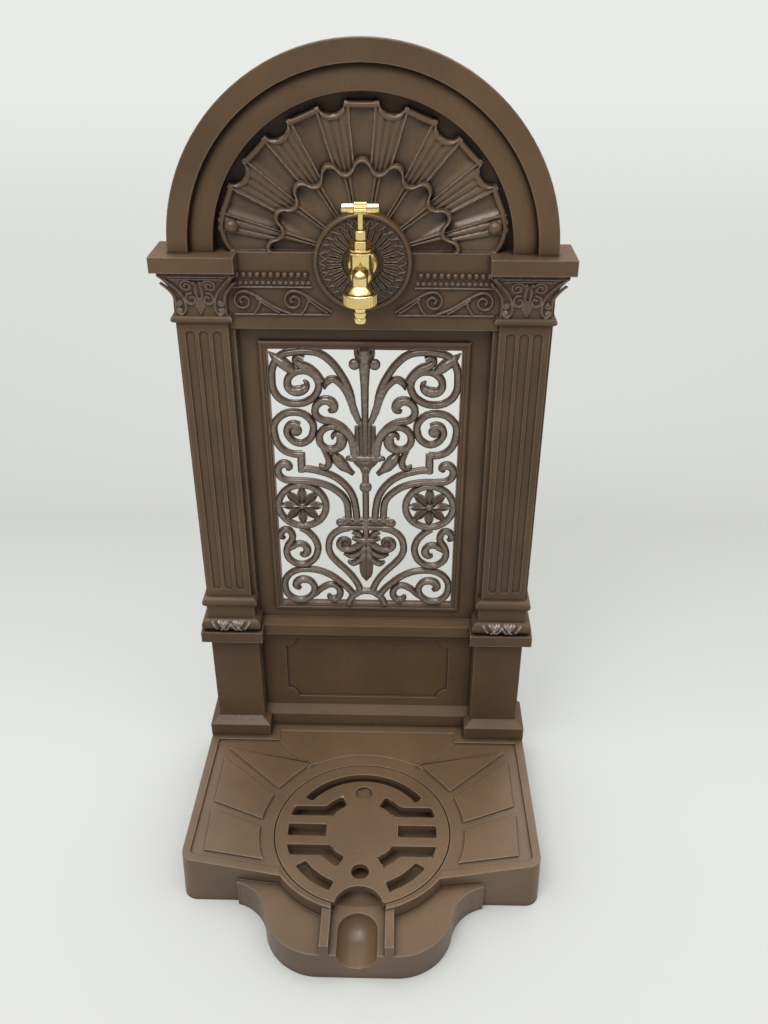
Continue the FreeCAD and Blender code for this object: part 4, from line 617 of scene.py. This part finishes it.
# Bars of the right half and bars across the middle; a third number makes a bar wider or thinner there
SCROLLS = {
    "crown": [
        (5.5, 255, 0.7), (8.5, 262, 0.8), (12.4, 270.5), (17.2, 294.8), (26.4, 315.3), (38.4, 331.6),
        (49.8, 339.9), (63.4, 342.5), (77.9, 341.6), (92.6, 337.5), (101.7, 325.4), (104.2, 309.7),
        (102.5, 294.5), (94.1, 283.4), (77.9, 279.1), (62.8, 283.7), (52.7, 296), (52.3, 307.1),
        (59.3, 316.5), (70.2, 319.5), (82.1, 314.7), (87, 305.1), (83.8, 296.5, 1.15),
        (75.7, 294.9, 1.4), (67.6, 298.5, 1.2), (65.4, 304, 0.75), (69, 308, 0.3),
    ],
    "corner_leaf": [
        (106.4, 341.4, 0.15), (100, 335.5, 0.95), (91.6, 329.4, 1.5), (84.6, 323.3, 1.4), (78, 317.5),
    ],
    "crown_leaf": [
        (48.6, 307.2), (54.2, 315, 1.15), (62.7, 322.7, 1.2), (72, 327.3, 1.1), (76.9, 331.9, 0.9),
        (74.6, 335.4, 0.9), (67.4, 333.2, 1.2),
    ],
    "inner_hook": [
        (6.5, 255, 0.7), (9, 262, 0.9), (14.5, 278.6), (20.2, 293.9), (28.1, 305), (36.1, 309.7),
        (42.8, 305.6), (45.6, 296.8, 0.3),
    ],
    "outer_hook": [
        (12.2, 210), (14, 230), (24, 248), (38, 257), (50, 259.5), (56.3, 266), (56.8, 273),
        (53.2, 279.8, 1.1), (44.6, 284, 1.25), (36.8, 280, 1.35), (36, 273, 1.15), (41.5, 269.5, 0.6),
    ],
    "ring_scroll": [
        (74, 214.6), (85.4, 214.9), (97.4, 221.6), (104.6, 238.6), (102.5, 257), (82, 268.5),
        (62, 258.5), (61, 241), (68, 231.5), (77.1, 228.8), (87.6, 236.3), (90, 246.4),
        (83.5, 253.2, 1.15), (75.5, 250.5, 1.2),
    ],
    "elbow_leg": [(74.8, 217), (75.2, 205, 1.1), (75.6, 191.5)],
    "elbow_bar": [
        (76.5, 195.2), (66, 194.6), (56.2, 192.6), (40, 186.6), (26.3, 176.1), (16, 160), (12.3, 143),
        (10.8, 124),
    ],
    "leaf_scroll": [
        (12.8, 212), (13.8, 222), (17.2, 236.4), (25.6, 246.4), (36.8, 250.9), (48.3, 246.9),
        (53.2, 236.8), (49.7, 225.7), (40.7, 221.5), (30.6, 225.1, 1.35), (27.2, 233.7, 1.45),
        (30, 240.6, 1.25), (36.4, 240.4, 0.75), (38.4, 234, 0.35),
    ],
    "leaf_tail": [
        (51, 226, 0.7), (44.7, 212.9, 0.9), (42.7, 204.2), (46, 197.6, 0.9), (51.6, 198, 0.75),
        (54, 202, 0.3),
    ],
    "drop_leaf": [
        (39, 219, 0.6), (31.8, 207.8, 1.6), (25, 199.2, 1.5), (19, 193.2, 0.9), (14.3, 188.7, 0.7),
    ],
    "side_hook": [
        (21.5, 124), (21.5, 138), (24, 153), (35.1, 166.1), (49, 174), (68.4, 178.2), (85.6, 178.8),
        (98, 181.3), (103.3, 189.2), (102.2, 197.6, 1.1), (95.6, 201.8, 1.2), (90.4, 198, 1.15),
        (92, 193, 0.6),
    ],
    "lower_scroll": [
        (79.2, 113), (69.1, 105), (61, 91.8), (60.6, 77.2), (69, 63.4), (81.5, 59), (93.5, 64.1),
        (98.7, 74.5), (96.8, 87.1), (91.2, 96.5), (91.4, 104.7), (97.3, 110.3), (103.2, 107.2),
        (104.8, 100.8), (100.5, 96.4, 0.55),
    ],
    "lower_curl": [
        (97, 80, 0.7), (90.9, 85.5), (83.6, 89.6), (75.6, 87), (73.3, 79, 1.2), (77, 74, 1.05),
        (83, 74.6, 0.55),
    ],
    "foot_scroll": [
        (16.5, 10), (20, 18.5), (31.9, 31.9), (49.3, 45.6), (69.4, 51.7), (88.9, 49.2), (101, 38.3),
        (103.4, 23), (97.9, 9.9), (85.6, 4.4), (72.8, 8.6), (66.1, 20.4), (68.9, 31),
        (77.9, 36.2, 1.15), (87.2, 32.4, 1.25), (89, 26, 1.1), (84.2, 21.4, 0.65),
    ],
    "foot_curl": [
        (67, 10, 0.6), (63.6, 14.9, 0.85), (54.3, 24.6), (42.6, 28.6), (34.8, 22.1), (35, 10.8),
        (41.4, 6.4, 1.05), (47, 9.2, 0.9), (48.4, 13.8, 0.45),
    ],
    "heart": [
        (20, 113.6), (31.1, 110.7), (41.6, 102.4), (46, 90), (44.9, 76.5), (36, 62.9), (26, 52),
        (15.4, 38), (8.4, 22.5), (7.2, 16),
    ],
    "foot_arch": [(22.5, -1), (20.5, 6), (12.6, 15), (4.5, 18.9), (0, 19.2)],
    "upper_petal": [
        (2, 95, 0.7), (9.9, 88), (19.9, 82.6), (28.6, 83), (33.2, 89.2, 0.95), (30.6, 96, 0.85),
        (24.4, 97, 0.75), (20.9, 92.4, 0.7), (23.4, 88.2, 0.6), (27, 89.4, 0.5),
    ],
    "middle_petal": [(2, 88, 0.7), (9.2, 77.4), (18.4, 73), (28.3, 75.4, 0.45)],
    "lower_petal": [(3, 78, 0.7), (9.3, 66.4), (16.9, 62), (23.4, 64.6, 0.45)],
    "band_leaf": [(4, 98, 0.7), (9.6, 105), (16.6, 108.6, 0.8)],
    "inner_reed": [(4.6, 206, 0.72), (4.6, 232, 0.72), (5.2, 258, 0.6)],
    "outer_reed": [(9.2, 206, 0.72), (9.4, 232, 0.72), (9.6, 252, 0.6)],
}
CROSS_BARS = {
    "calyx_collar": [(-18.5, COLLAR_LEVEL), (0, COLLAR_LEVEL), (18.5, COLLAR_LEVEL)],
    "vase_foot": [(-31.5, 114.6, 0.9), (0, 114.6, 0.9), (31.5, 114.6, 0.9)],
    "vase_neck": [(-28, 120.3, 0.75), (0, 120.3, 0.75), (28, 120.3, 0.75)],
    "vase_lip": [(-29, 125.6, 0.75), (0, 125.6, 0.75), (29, 125.6, 0.75)],
    "palmette_band": [(-17.5, 99, 0.6), (-10, 97, 0.9), (0, 96.6), (10, 97, 0.9), (17.5, 99, 0.6)],
    "center_stem": [(0, 204, 0.8), (0, 262, 0.9), (0, 300, 1.05), (0, 318, 1.3), (0, 330, 1.5)],
    "lower_stem": [(0, 94, 0.9), (0, 120, 0.9), (0, 150, 0.9), (0, 192, 0.95)],
    "finial": [(0, 326, 1.3), (0, 336, 1.2), (0, 345.5, 1.5)],
}
GRILLE_TOPS = (GRILLE_BACK - 5.0 * MM, GRILLE_BACK - 6.4 * MM)
GRILLE_BROWN = (0.078, 0.047, 0.026, 1)
section_line = bpy.data.curves.new("bar_section", "CURVE")
section_line.dimensions = "2D"
bar_outline = BAR_SIDE + [(-across, rise) for across, rise in reversed(BAR_SIDE[:-1])]
section_points = section_line.splines.new("POLY").points
section_points.add(len(bar_outline) - 1)
for point, (across, rise) in zip(section_points, bar_outline):
    point.co = (across, rise, 0, 1)
section_line.splines[0].use_cyclic_u = True
bar_section = bpy.data.objects.new("bar_section", section_line)


def bar(route, wide=1.0, closed=False, steps=4, lift=0.0):
    """A moulded bar drawn flat along a route in millimetres, lifted a little from its wall so that two
    backs never share a plane."""
    line = bpy.data.curves.new("bar", "CURVE")
    line.dimensions = "3D"
    line.twist_mode = "Z_UP"
    line.resolution_u = steps
    line.bevel_mode = "OBJECT"
    line.bevel_object = bar_section
    line.use_fill_caps = True
    spline = line.splines.new("BEZIER")
    spline.bezier_points.add(len(route) - 1)
    spline.use_cyclic_u = closed
    for knot, (across, up, *swell) in zip(spline.bezier_points, route):
        knot.co = (across, up, lift)
        knot.radius = wide * (swell[0] if swell else 1.0)
        knot.handle_left_type = "AUTO"
        knot.handle_right_type = "AUTO"
    piece = bpy.data.objects.new("bar", line)
    bpy.context.collection.objects.link(piece)
    select_only(piece)
    bpy.ops.object.convert(target="MESH")
    return bpy.context.object


def stood_up(name, pieces, back, foot, middle=0.0, thin=1.0):
    """Joins flat drawn pieces and stands them up against a wall, with their webs on it."""
    piece = joined(name, pieces)
    for vertex in piece.data.vertices:
        across, up, rise = vertex.co
        vertex.co = (middle + across * MM, back - rise * thin * MM, foot + up * MM)
    bpy.ops.object.mode_set(mode="EDIT")
    bpy.ops.mesh.select_all(action="SELECT")
    bpy.ops.mesh.remove_doubles(threshold=BAR_MERGE_DISTANCE)
    bpy.ops.mesh.normals_make_consistent(inside=False)
    bpy.ops.object.mode_set(mode="OBJECT")
    bpy.ops.object.shade_smooth_by_angle(angle=math.radians(BAR_SMOOTH_ANGLE))
    return piece


def on_route(route, share):
    """A point and a heading on a smooth line through a route's points."""
    place = min(share, 0.9999) * (len(route) - 1)
    index = int(place)
    part = place - index
    points = [Vector(route[min(max(index + step, 0), len(route) - 1)]) for step in (-1, 0, 1, 2)]
    bend = [points[1], (points[2] - points[0]) / 2]
    bend.append(points[0] - 2.5 * points[1] + 2 * points[2] - points[3] / 2)
    bend.append((points[3] - points[0]) / 2 + 1.5 * (points[1] - points[2]))
    point = sum((bend[power] * part ** power for power in (1, 2, 3)), bend[0])
    heading = bend[1] + 2 * part * bend[2] + 3 * part ** 2 * bend[3]
    return point, heading.normalized()


def blade(name, route, half_widths, back, foot, middle=0.0, vein=0.0, low=2.0, high=3.6, steps=18):
    """A cast leaf along a route, with its half widths: folded to a ridge, or rounded with a sunk vein."""
    widths = [(width, 0) for width in half_widths]

    def place(along, across):
        point, heading = on_route(route, along)
        side = 2 * across - 1
        half = max(LEAF_NARROWEST, on_route(widths, along)[0].x)
        rise = low + high * (1 - abs(side) ** (2 if vein else 1))
        rise -= vein * math.exp(-((side / VEIN_SHARE) ** 2))
        spot = point + Vector((-heading.y, heading.x)) * side * half
        return Vector((middle + spot.x * MM, back - rise * MM, foot + spot.y * MM))
    return relief(name, steps, LEAF_ROWS, place, back)


def boss(across, up, radius, flat=0.75, rings=9):
    """A round boss on the grille, half sunk in its web."""
    place = (across * MM, GRILLE_BACK - BOSS_STAND * MM, WINDOW_FOOT + up * MM)
    return ball("boss", place, radius * MM, rings, flat)


def round_points(center, radius, count):
    """Points spaced evenly round a circle."""
    turns = [2 * math.pi * index / count for index in range(count)]
    return [(center[0] + radius * math.cos(turn), center[1] + radius * math.sin(turn)) for turn in turns]


def frame_point(along, across):
    """A point of the mitred frame: which corner it is at, and where on the moulding."""
    side, level = FRAME_CORNERS[round(along * len(FRAME_CORNERS)) % len(FRAME_CORNERS)]
    out, rise = FRAME_PROFILE[round(across * len(FRAME_PROFILE)) % len(FRAME_PROFILE)]
    up = WINDOW_HEIGHT + out if level else -out
    return Vector((side * (WINDOW_HALF + out) * MM, GRILLE_BACK - rise * MM, WINDOW_FOOT + up * MM))


half_bars = [bar(route, BAR_WIDE, lift=BACK_STEP * index) for index, route in enumerate(SCROLLS.values())]
ring_route = round_points(FLOWER_CENTER, FLOWER_RING, RING_KNOTS)
half_bars.append(bar(ring_route, BAR_WIDE, closed=True, lift=BACK_STEP * len(SCROLLS)))
half_grille = stood_up("grille_half", half_bars, GRILLE_BACK, WINDOW_FOOT, thin=BAR_THIN)
cross_bars = [
    bar(route, BAR_WIDE, lift=BACK_STEP * (index + len(SCROLLS) + 1))
    for index, route in enumerate(CROSS_BARS.values())
]
middle_grille = stood_up("grille_middle", cross_bars, GRILLE_BACK, WINDOW_FOOT, thin=BAR_THIN)
half_relief = [boss(*FLOWER_CENTER, FLOWER_EYE, flat=1.0)]
for index, turn in enumerate(round_points((0, 0), 1, PETALS)):
    petal_route = [tuple(Vector(FLOWER_CENTER) + Vector(turn) * reach) for reach in PETAL_REACHES]
    petal_back = LEAF_BACK - BACK_STEP * index * MM
    half_relief.append(
        blade("petal", petal_route, PETAL_HALVES, petal_back, WINDOW_FOOT, low=0.8, high=3.4, steps=12)
    )
half_relief += [boss(*eye) for eye in EYES]
half_relief += [
    boss(across, COLLAR_LEVEL, COLLAR_BEAD_RADIUS, flat=1.15, rings=7) for across in COLLAR_BEADS
]
half_relief.append(
    blade("finial_leaf", FINIAL_LEAF, FINIAL_HALVES, LEAF_BACK, WINDOW_FOOT, low=0.8, high=3.0, steps=10)
)
half_grille = joined("grille_half", [half_grille] + half_relief)
apply_modifier(half_grille, "MIRROR", use_mirror_merge=False)
calyx_back = LEAF_BACK - BACK_STEP * MM
middle_relief = [
    blade("palmette_drop", PALMETTE_DROP, PALMETTE_HALVES, LEAF_BACK, WINDOW_FOOT, vein=1.6, low=1.0),
    blade("calyx_cup", CALYX_CUP, CALYX_HALVES, calyx_back, WINDOW_FOOT, vein=0.4, low=1.4, high=2.4),
    boss(0, 171.5, 7.6), boss(0, 337.5, 6.6, flat=0.85), boss(0, 196.5, 3.4, flat=1.25),
]
grille_frame = shaped_grid("grille_frame", len(FRAME_CORNERS), len(FRAME_PROFILE), frame_point)
dress(grille_frame, upright_paint_shaded, "fountain", "brown_paint")
grille = joined("grille_casting", [half_grille, middle_grille] + middle_relief)
grille_paint = painted_iron(
    "brown_paint_grille", GRILLE_BROWN, SILVERED, RELIEF_STREAKS, rub=0.36, roughness=0.22,
    tops=GRILLE_TOPS, metal=0.9, gloss=0.6,
)
dress(grille, grille_paint, "fountain", "brown_paint", "grille")

# Frieze: a bead row, a row of small eggs and a running scroll on the band each side of the rosette.
# All of it is cast with the panel; the beads are rubbed bright. Lengths are in millimetres.
BAND_FACE = ROSETTE_BACK
BEAD_Z = 696.0
BEAD_RADIUS = 3.2
BEAD_PITCH = 7.2
BEAD_START = 60.0
BEAD_COUNT = 11
BEAD_STAND = 1.2
EGG_Z = 687.2
EGG_RADIUS = 2.3
EGG_PITCH = 6.0
EGG_START = 57.0
EGG_COUNT = 14
EGG_STAND = 0.2
LINE_WIDE = 0.3
SCROLL_WIDE = 0.42
SCROLL_STEPS = 3
FRIEZE_THICKNESS = 1.15
SPIRAL_STEP = 40


def volute(center, outer, inner, start, sweep):
    """Points on a spiral whose radius goes evenly from outer to inner over its sweep, in degrees."""
    count = max(4, round(abs(sweep) / SPIRAL_STEP))
    points = []
    for step in range(count + 1):
        radius = outer + (inner - outer) * step / count
        angle = math.radians(start + sweep * step / count)
        points.append((center[0] + radius * math.cos(angle), center[1] + radius * math.sin(angle)))
    return points


def both_sides(routes):
    """Routes on the right, and the same routes mirrored to the left."""
    return routes + [[(-across, up) for across, up in route] for route in routes]


FRIEZE_LINES = [
    [(54, 682.8), (95, 682.8), (137.5, 682.8)],
    [(36, 653.2), (85, 653.2), (137.5, 653.2)],
]
FRIEZE_SCROLLS = [
    volute((126.9, 667.9), 2.2, 10.6, -410, 500) + [(117, 675.4), (105, 668), (93, 660.6), (77.6, 654.5)],
    volute((73.5, 668.4), 2.2, 10.6, -410, 500) + [(63.5, 676), (52, 669), (41, 661.6), (34, 657)],
    [(113, 671.6), (108, 667.6), (99, 661.4), (89, 655.4)],
    [(60, 672), (54, 667), (45.5, 660.6), (38, 655.6)],
    [(108.8, 668), (110.5, 662.5), (115.4, 654.5)],
    [(57.9, 669), (60, 662.5), (65.4, 654)],
]
frieze_bars = [bar(route, LINE_WIDE) for route in both_sides(FRIEZE_LINES)]
frieze_bars += [bar(route, SCROLL_WIDE, steps=SCROLL_STEPS) for route in both_sides(FRIEZE_SCROLLS)]
frieze = [stood_up("frieze_scrolls", frieze_bars, BAND_FACE, 0.0, thin=FRIEZE_THICKNESS)]
for sign in (-1, 1):
    for index in range(BEAD_COUNT):
        across = sign * (BEAD_START + index * BEAD_PITCH)
        place = (across * MM, BAND_FACE - BEAD_STAND * MM, BEAD_Z * MM)
        frieze.append(ball("bead", place, BEAD_RADIUS * MM, rings=8))
    for index in range(EGG_COUNT):
        across = sign * (EGG_START + index * EGG_PITCH)
        place = (across * MM, BAND_FACE - EGG_STAND * MM, EGG_Z * MM)
        frieze.append(ball("egg", place, EGG_RADIUS * MM, rings=6, flat=0.8))
frieze_paint = painted_iron(
    "brown_paint_frieze", BROWN, SILVERED, RELIEF_STREAKS, rub=0.20, roughness=0.33, gloss=0.45
)
dress(joined("frieze_ornament", frieze), frieze_paint, "fountain", "brown_paint")

# Capitals: scroll brackets, volutes, leaves and a drop tongue on the flared bell of each pilaster.
# They are cast with the panel and follow its hollow curve.
# Lengths are in millimetres from the floor and from each pilaster's middle.
PILASTER_CENTER = 172.0
PILASTERS = {"left": -PILASTER_CENTER * MM, "right": PILASTER_CENTER * MM}
BELL_LIMIT = 145.5 * MM
CAPITAL_SINK = 0.5
CAPITAL_FILLETS = [
    [(-30, 698.2), (0, 698.2), (30, 698.2)],
    [(-27, 694.6), (0, 694.6), (27, 694.6)],
]
# Bars of a capital's right half, with their widths
CAPITAL_BARS = {
    "bracket": (0.5, [
        (38, 699), (26.6, 686.6), (18.3, 674.8), (15.4, 664.5), (17, 656.5), (22, 654.6), (24, 658.5),
        (20.5, 660.5),
    ]),
    "outer_bracket": (0.5, [
        (38.5, 690), (31, 681), (27, 674), (25.6, 667), (22.5, 663.5), (19.6, 666.5), (22.4, 669),
    ]),
    "volute": (0.42, volute((12, 686.2), 7.2, 1.6, 160, -560)),
    "lobe": (0.42, volute((8.6, 670.2), 7.6, 2.2, 100, -420)),
    "stem": (0.4, [(1.8, 688), (3.2, 680), (2.2, 671)]),
}
# Balls of a capital's right half: how far across and up, how far they stand out, and the radius
CAPITAL_BALLS = [(3.3, 689.5, 0.8, 3.2), (21.3, 657.7, 0.6, 3.0), (22.2, 666.5, 0.6, 2.4)]
TONGUE = [(0, 672), (0, 666), (0, 660), (0, 653.5)]
TONGUE_HALVES = (3, 5.5, 4.6, 0.6)


def bell_depth(across, up, middle):
    """Where the panel's face lies at a place, or at the nearest place towards the pilaster's middle."""
    for share in (1.0, 0.95, 0.9, 0.85, 0.8, 0.75, 0.7):
        start = Vector((middle + (across - middle) * share, -1.0, up))
        hit, place = panel.ray_cast(start, Vector((0, 1, 0)))[:2]
        if hit and place.y < BELL_LIMIT:
            return place.y
    return BELL_LIMIT


def pressed(piece, middle, sink):
    """Lays a flat ornament on the panel's curved face."""
    for vertex in piece.data.vertices:
        vertex.co.y += bell_depth(vertex.co.x, vertex.co.z, middle) + sink * MM
    return piece


for side, middle in PILASTERS.items():
    bars = [bar(route, LINE_WIDE, steps=SCROLL_STEPS) for route in CAPITAL_FILLETS]
    for wide, right_route in CAPITAL_BARS.values():
        bars += [bar(route, wide, steps=SCROLL_STEPS) for route in both_sides([right_route])]
    capital = [stood_up("capital_scrolls", bars, 0.0, 0.0, middle)]
    for sign in (-1, 1):
        for across, up, stand, radius in CAPITAL_BALLS:
            place = (middle + sign * across * MM, -stand * MM, up * MM)
            capital.append(ball("capital_ball", place, radius * MM, rings=8))
    capital.append(
        blade("tongue", TONGUE, TONGUE_HALVES, 0.0, 0.0, middle, vein=0.8, low=0.8, high=2.2, steps=10)
    )
    capital = pressed(joined(f"capital_{side}", capital), middle, CAPITAL_SINK)
    dress(capital, frieze_paint, "fountain", "brown_paint")

# Pilaster feet: crossed chevron strands cast on the lower round moulding of each pilaster's foot.
# They stand proud of the moulding, so their tops are rubbed bright. Lengths are in millimetres.
CHEVRON_LOW = 237.5
CHEVRON_HIGH = 251.0
CHEVRON_HALF = 6.6
CHEVRON_CENTER = 9.5
CHEVRON_SINK = 0.4
MIDDLE_CHEVRON = [(-5.2, CHEVRON_LOW + 1.5), (0, CHEVRON_HIGH - 3.2), (5.2, CHEVRON_LOW + 1.5)]
SIDE_CHEVRONS = [
    [
        (CHEVRON_CENTER - CHEVRON_HALF, CHEVRON_HIGH), (CHEVRON_CENTER, CHEVRON_LOW + 4.5),
        (CHEVRON_CENTER + CHEVRON_HALF, CHEVRON_HIGH),
    ],
    [(6.2, CHEVRON_HIGH), (CHEVRON_CENTER, CHEVRON_HIGH - 3.8), (12.8, CHEVRON_HIGH)],
    [(24, CHEVRON_HIGH - 1), (17.5, CHEVRON_LOW + 2)],
    [(13.5, CHEVRON_LOW - 0.5), (CHEVRON_CENTER, CHEVRON_LOW + 2.4), (5.5, CHEVRON_LOW - 0.5)],
]


def strand(route):
    """Straight bars between a route's points, so that its bends stay sharp."""
    legs = []
    for start, end in zip(route, route[1:]):
        halfway = ((start[0] + end[0]) / 2, (start[1] + end[1]) / 2)
        legs.append(bar([start, halfway, end], SCROLL_WIDE))
    return legs


foot_paint = painted_iron(
    "brown_paint_foot", BROWN, SILVERED, RELIEF_STREAKS, rub=0.75, roughness=0.28, gloss=0.5
)
for side, middle in PILASTERS.items():
    strands = [leg for route in [MIDDLE_CHEVRON] + both_sides(SIDE_CHEVRONS) for leg in strand(route)]
    foot = pressed(stood_up(f"pilaster_foot_{side}", strands, 0.0, 0.0, middle), middle, CHEVRON_SINK)
    dress(foot, foot_paint, "fountain", "brown_paint")

# Tap: turned and cast brass, polished bright, with a T-bar handle and a hose union.
# Its headwork, union and locknut screw on to the body.
TURNED_ROUNDING = 0.3 * MM
BRASS = (0.98, 0.75, 0.32, 1)
TARNISH_AND_PAINTED_SHADE = (0.22, 0.13, 0.04, 1)
TARNISH_AND_SHADE_REACH = 1.8 * MM
TONE_SCALE = 60.0
SCRATCH_SCALE = 900.0
SCRATCH_DEPTH = 0.3 * MM
SCRATCH_STRENGTH = 0.04
KNURL_RIDGE = 1.3
KNURL_GROOVE = 1.0
KNURL_ROOT = 1.6
NUT_RADIUS = 16.2
NUT_BAND = 9.6
NUT_RIDGES = 30
HANDLE_BAND = 11.5
HANDLE_RIDGES = 18
NUT_LOW, NUT_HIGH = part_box("union_nut")
BAR_LOW, BAR_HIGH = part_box("handle_bar")
TAP_BODIES = {
    "wall_flange": "fountain", "tap_body": "fountain", "bonnet": "fountain", "gland_nut": "fountain",
    "spindle": "handle", "handle_bar": "handle", "union_nut": "nut", "hose_tail": "tail",
}


def polished_brass(name, colour, roughness):
    """Bright brass with small tone changes, fine scratches, and tarnish with painted shade darkening its
    crevices.
    """
    material, place = new_material(name)
    cloud = noise(material, place, TONE_SCALE, 4.0)
    scratch = noise(material, place, SCRATCH_SCALE, 2.0)
    tone = mixed(material, ranged(material, cloud, 0.35, 0.7), colour, shaded(colour, 0.88))
    # Painted shade: crevices darken towards the tarnish colour, partly real tarnish and partly shade.
    crevice_shade = openness(material, TARNISH_AND_SHADE_REACH)
    return finished(material, {
        "Base Color": mixed(material, ranged(material, crevice_shade, 0.55, 0.98, 0.85, 0.0), tone, TARNISH_AND_PAINTED_SHADE),
        "Roughness": ranged(material, cloud, 0.3, 0.7, roughness - 0.05, roughness + 0.07),
        "Metallic": 1.0,
        "Normal": bumped(material, scratch, SCRATCH_STRENGTH, SCRATCH_DEPTH),
    })


def knurl(name, center, axis, radius, height, ridges):
    """A closed ring of fine ridges round a turned piece, centred on a point of its axis."""
    along = Vector(axis)
    first = along.orthogonal().normalized()
    second = along.cross(first)

    def place(around, across):
        row = round(across * 4) % 4
        angle = 2 * math.pi * around
        reach = radius - KNURL_ROOT
        if row in (1, 2):
            reach = radius - KNURL_GROOVE + KNURL_RIDGE * abs(math.cos(ridges * angle / 2))
        shift = height / 2 if row in (2, 3) else -height / 2
        outward = first * math.cos(angle) + second * math.sin(angle)
        return center + outward * reach * MM + along * shift * MM
    ring = shaped_grid(name, ridges * 6, 4, place)
    bpy.ops.object.shade_smooth_by_angle(angle=math.radians(SMOOTH_ANGLE))
    return ring


brass = polished_brass("polished_brass", BRASS, 0.17)
for node, body in TAP_BODIES.items():
    piece = softened(node, f"{node}_turned", TURNED_ROUNDING)
    dress(piece, brass, body, "brass", node)
nut_center = (NUT_LOW + NUT_HIGH) / 2
nut_ring = knurl("union_nut_knurl", nut_center, (0, 0, 1), NUT_RADIUS, NUT_BAND, NUT_RIDGES)
dress(nut_ring, brass, "nut", "brass")
bar_center = (BAR_LOW + BAR_HIGH) / 2
bar_radius = (BAR_HIGH - BAR_LOW).z / MM / 2
bar_ring = knurl("handle_knurl", bar_center, (1, 0, 0), bar_radius, HANDLE_BAND, HANDLE_RIDGES)
dress(bar_ring, brass, "handle", "brass")

# Inner and rear pieces: plain brass, zinc-plated steel and black rubber, seen only from behind
# or when the tap is taken apart.
ZINC = (0.55, 0.56, 0.57, 1)
BLACK = (0.02, 0.02, 0.02, 1)
PLAIN_SCALE = 120.0


def plain_finish(name, colour, roughness, metallic):
    material, place = new_material(name)
    cloud = noise(material, place, PLAIN_SCALE, 4.0)
    return finished(material, {
        "Base Color": mixed(material, cloud, colour, shaded(colour, 0.65)),
        "Roughness": ranged(material, cloud, 0.3, 0.7, roughness - 0.08, roughness + 0.1),
        "Metallic": metallic,
    })


steel = plain_finish("zinc_plated_steel", ZINC, 0.35, 1.0)
rubber = plain_finish("black_rubber", BLACK, 0.7, 0.0)
LEFT_AS_MADE = {
    steel: ["grille_studs", "grille_nuts", "panel_bolts", "panel_washers"],
    rubber: ["locknut_washer", "bonnet_washer", "gland_packing", "jumper_washer", "union_washer"],
    brass: ["tap_locknut", "jumper"],
}
for finish, names in LEFT_AS_MADE.items():
    for node in names:
        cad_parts[node].data.materials.clear()
        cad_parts[node].data.materials.append(finish)

# Studio: a pale floor that runs out of the picture, darker in a band behind the fountain as painted shade
# and paler far off as painted light, soft light that grows brighter overhead, two soft lamps, in front on
# the left and behind, and the camera where the photograph was taken from.
FLOOR_SIZE = 60
PAPER_NEAR = (0.455, 0.464, 0.45, 1)
PAPER_SHADE = (0.367, 0.374, 0.36, 1)
PAPER_FAR = (0.545, 0.556, 0.54, 1)
PAPER_ROUGHNESS = 0.8
# Where the floor starts to darken behind the fountain, where it is darkest, and where it is palest
SHADE_START, SHADE_END, FADE_END = 0.05, 0.8, 6.5
FADE_STEEPNESS = 0.6
SKY_LOW = (0.22, 0.22, 0.22, 1)
SKY_HIGH = (3.4, 3.4, 3.36, 1)
SKY_STEEPNESS = 3.0
# Position, size and power
LIGHTS = {
    "key": ((-0.35, -0.75, 1.9), 0.7, 12),
    "rim": ((0.3, 1.3, 2.0), 1.2, 5),
}
LIGHT_AIM = Vector((0, 0.05, 0.55))
CAMERA_POSITION = Vector((0.0431, -0.8330, 1.0008))
PITCH = math.radians(31.1237)
YAW = math.radians(-1.2196)
ROLL = math.radians(0.1274)
FOCAL_LENGTH = 33.722
SENSOR_WIDTH = 36

bpy.ops.mesh.primitive_plane_add(size=FLOOR_SIZE)
floor = bpy.context.object
floor.name = "floor"
paper, sheet = new_material("pale_paper")
# The floor's colour is painted darker behind the fountain, as painted shade, and paler far off, as painted
# light.
depth = add_node(paper, "ShaderNodeSeparateXYZ", {"Vector": sheet}).outputs["Y"]
behind = mixed(paper, ranged(paper, depth, SHADE_START, SHADE_END), PAPER_NEAR, PAPER_SHADE)
away = worked(paper, "POWER", ranged(paper, depth, SHADE_END, FADE_END), FADE_STEEPNESS)
finished(paper, {"Base Color": mixed(paper, away, behind, PAPER_FAR), "Roughness": PAPER_ROUGHNESS})
floor.data.materials.append(paper)

world = bpy.data.worlds.new("studio")
world.use_nodes = True
heading = add_node(world, "ShaderNodeTexCoord", {}).outputs["Generated"]
height = add_node(world, "ShaderNodeSeparateXYZ", {"Vector": heading}).outputs["Z"]
overhead = worked(world, "POWER", ranged(world, height, 0.0, 1.0), SKY_STEEPNESS)
fill(world, world.node_tree.nodes["Background"], {"Color": mixed(world, overhead, SKY_LOW, SKY_HIGH)})
bpy.context.scene.world = world
bpy.context.scene.view_settings.view_transform = "Standard"

for name, (position, size, power) in LIGHTS.items():
    lamp = bpy.data.lights.new(name, "AREA")
    lamp.size = size
    lamp.energy = power
    holder = bpy.data.objects.new(name, lamp)
    holder.location = position
    holder.rotation_euler = (LIGHT_AIM - holder.location).to_track_quat("-Z", "Y").to_euler()
    bpy.context.collection.objects.link(holder)

forward = Vector((math.sin(YAW) * math.cos(PITCH), math.cos(YAW) * math.cos(PITCH), -math.sin(PITCH)))
level = Vector((math.cos(YAW), -math.sin(YAW), 0))
upward = level.cross(forward)
right = level * math.cos(ROLL) + upward * math.sin(ROLL)
top = upward * math.cos(ROLL) - level * math.sin(ROLL)
lens = bpy.data.cameras.new("camera")
lens.lens = FOCAL_LENGTH
lens.sensor_width = SENSOR_WIDTH
camera = bpy.data.objects.new("camera", lens)
facing = Matrix((right, top, -forward)).transposed().to_4x4()
camera.matrix_world = Matrix.Translation(CAMERA_POSITION) @ facing
bpy.context.collection.objects.link(camera)
bpy.context.scene.camera = camera
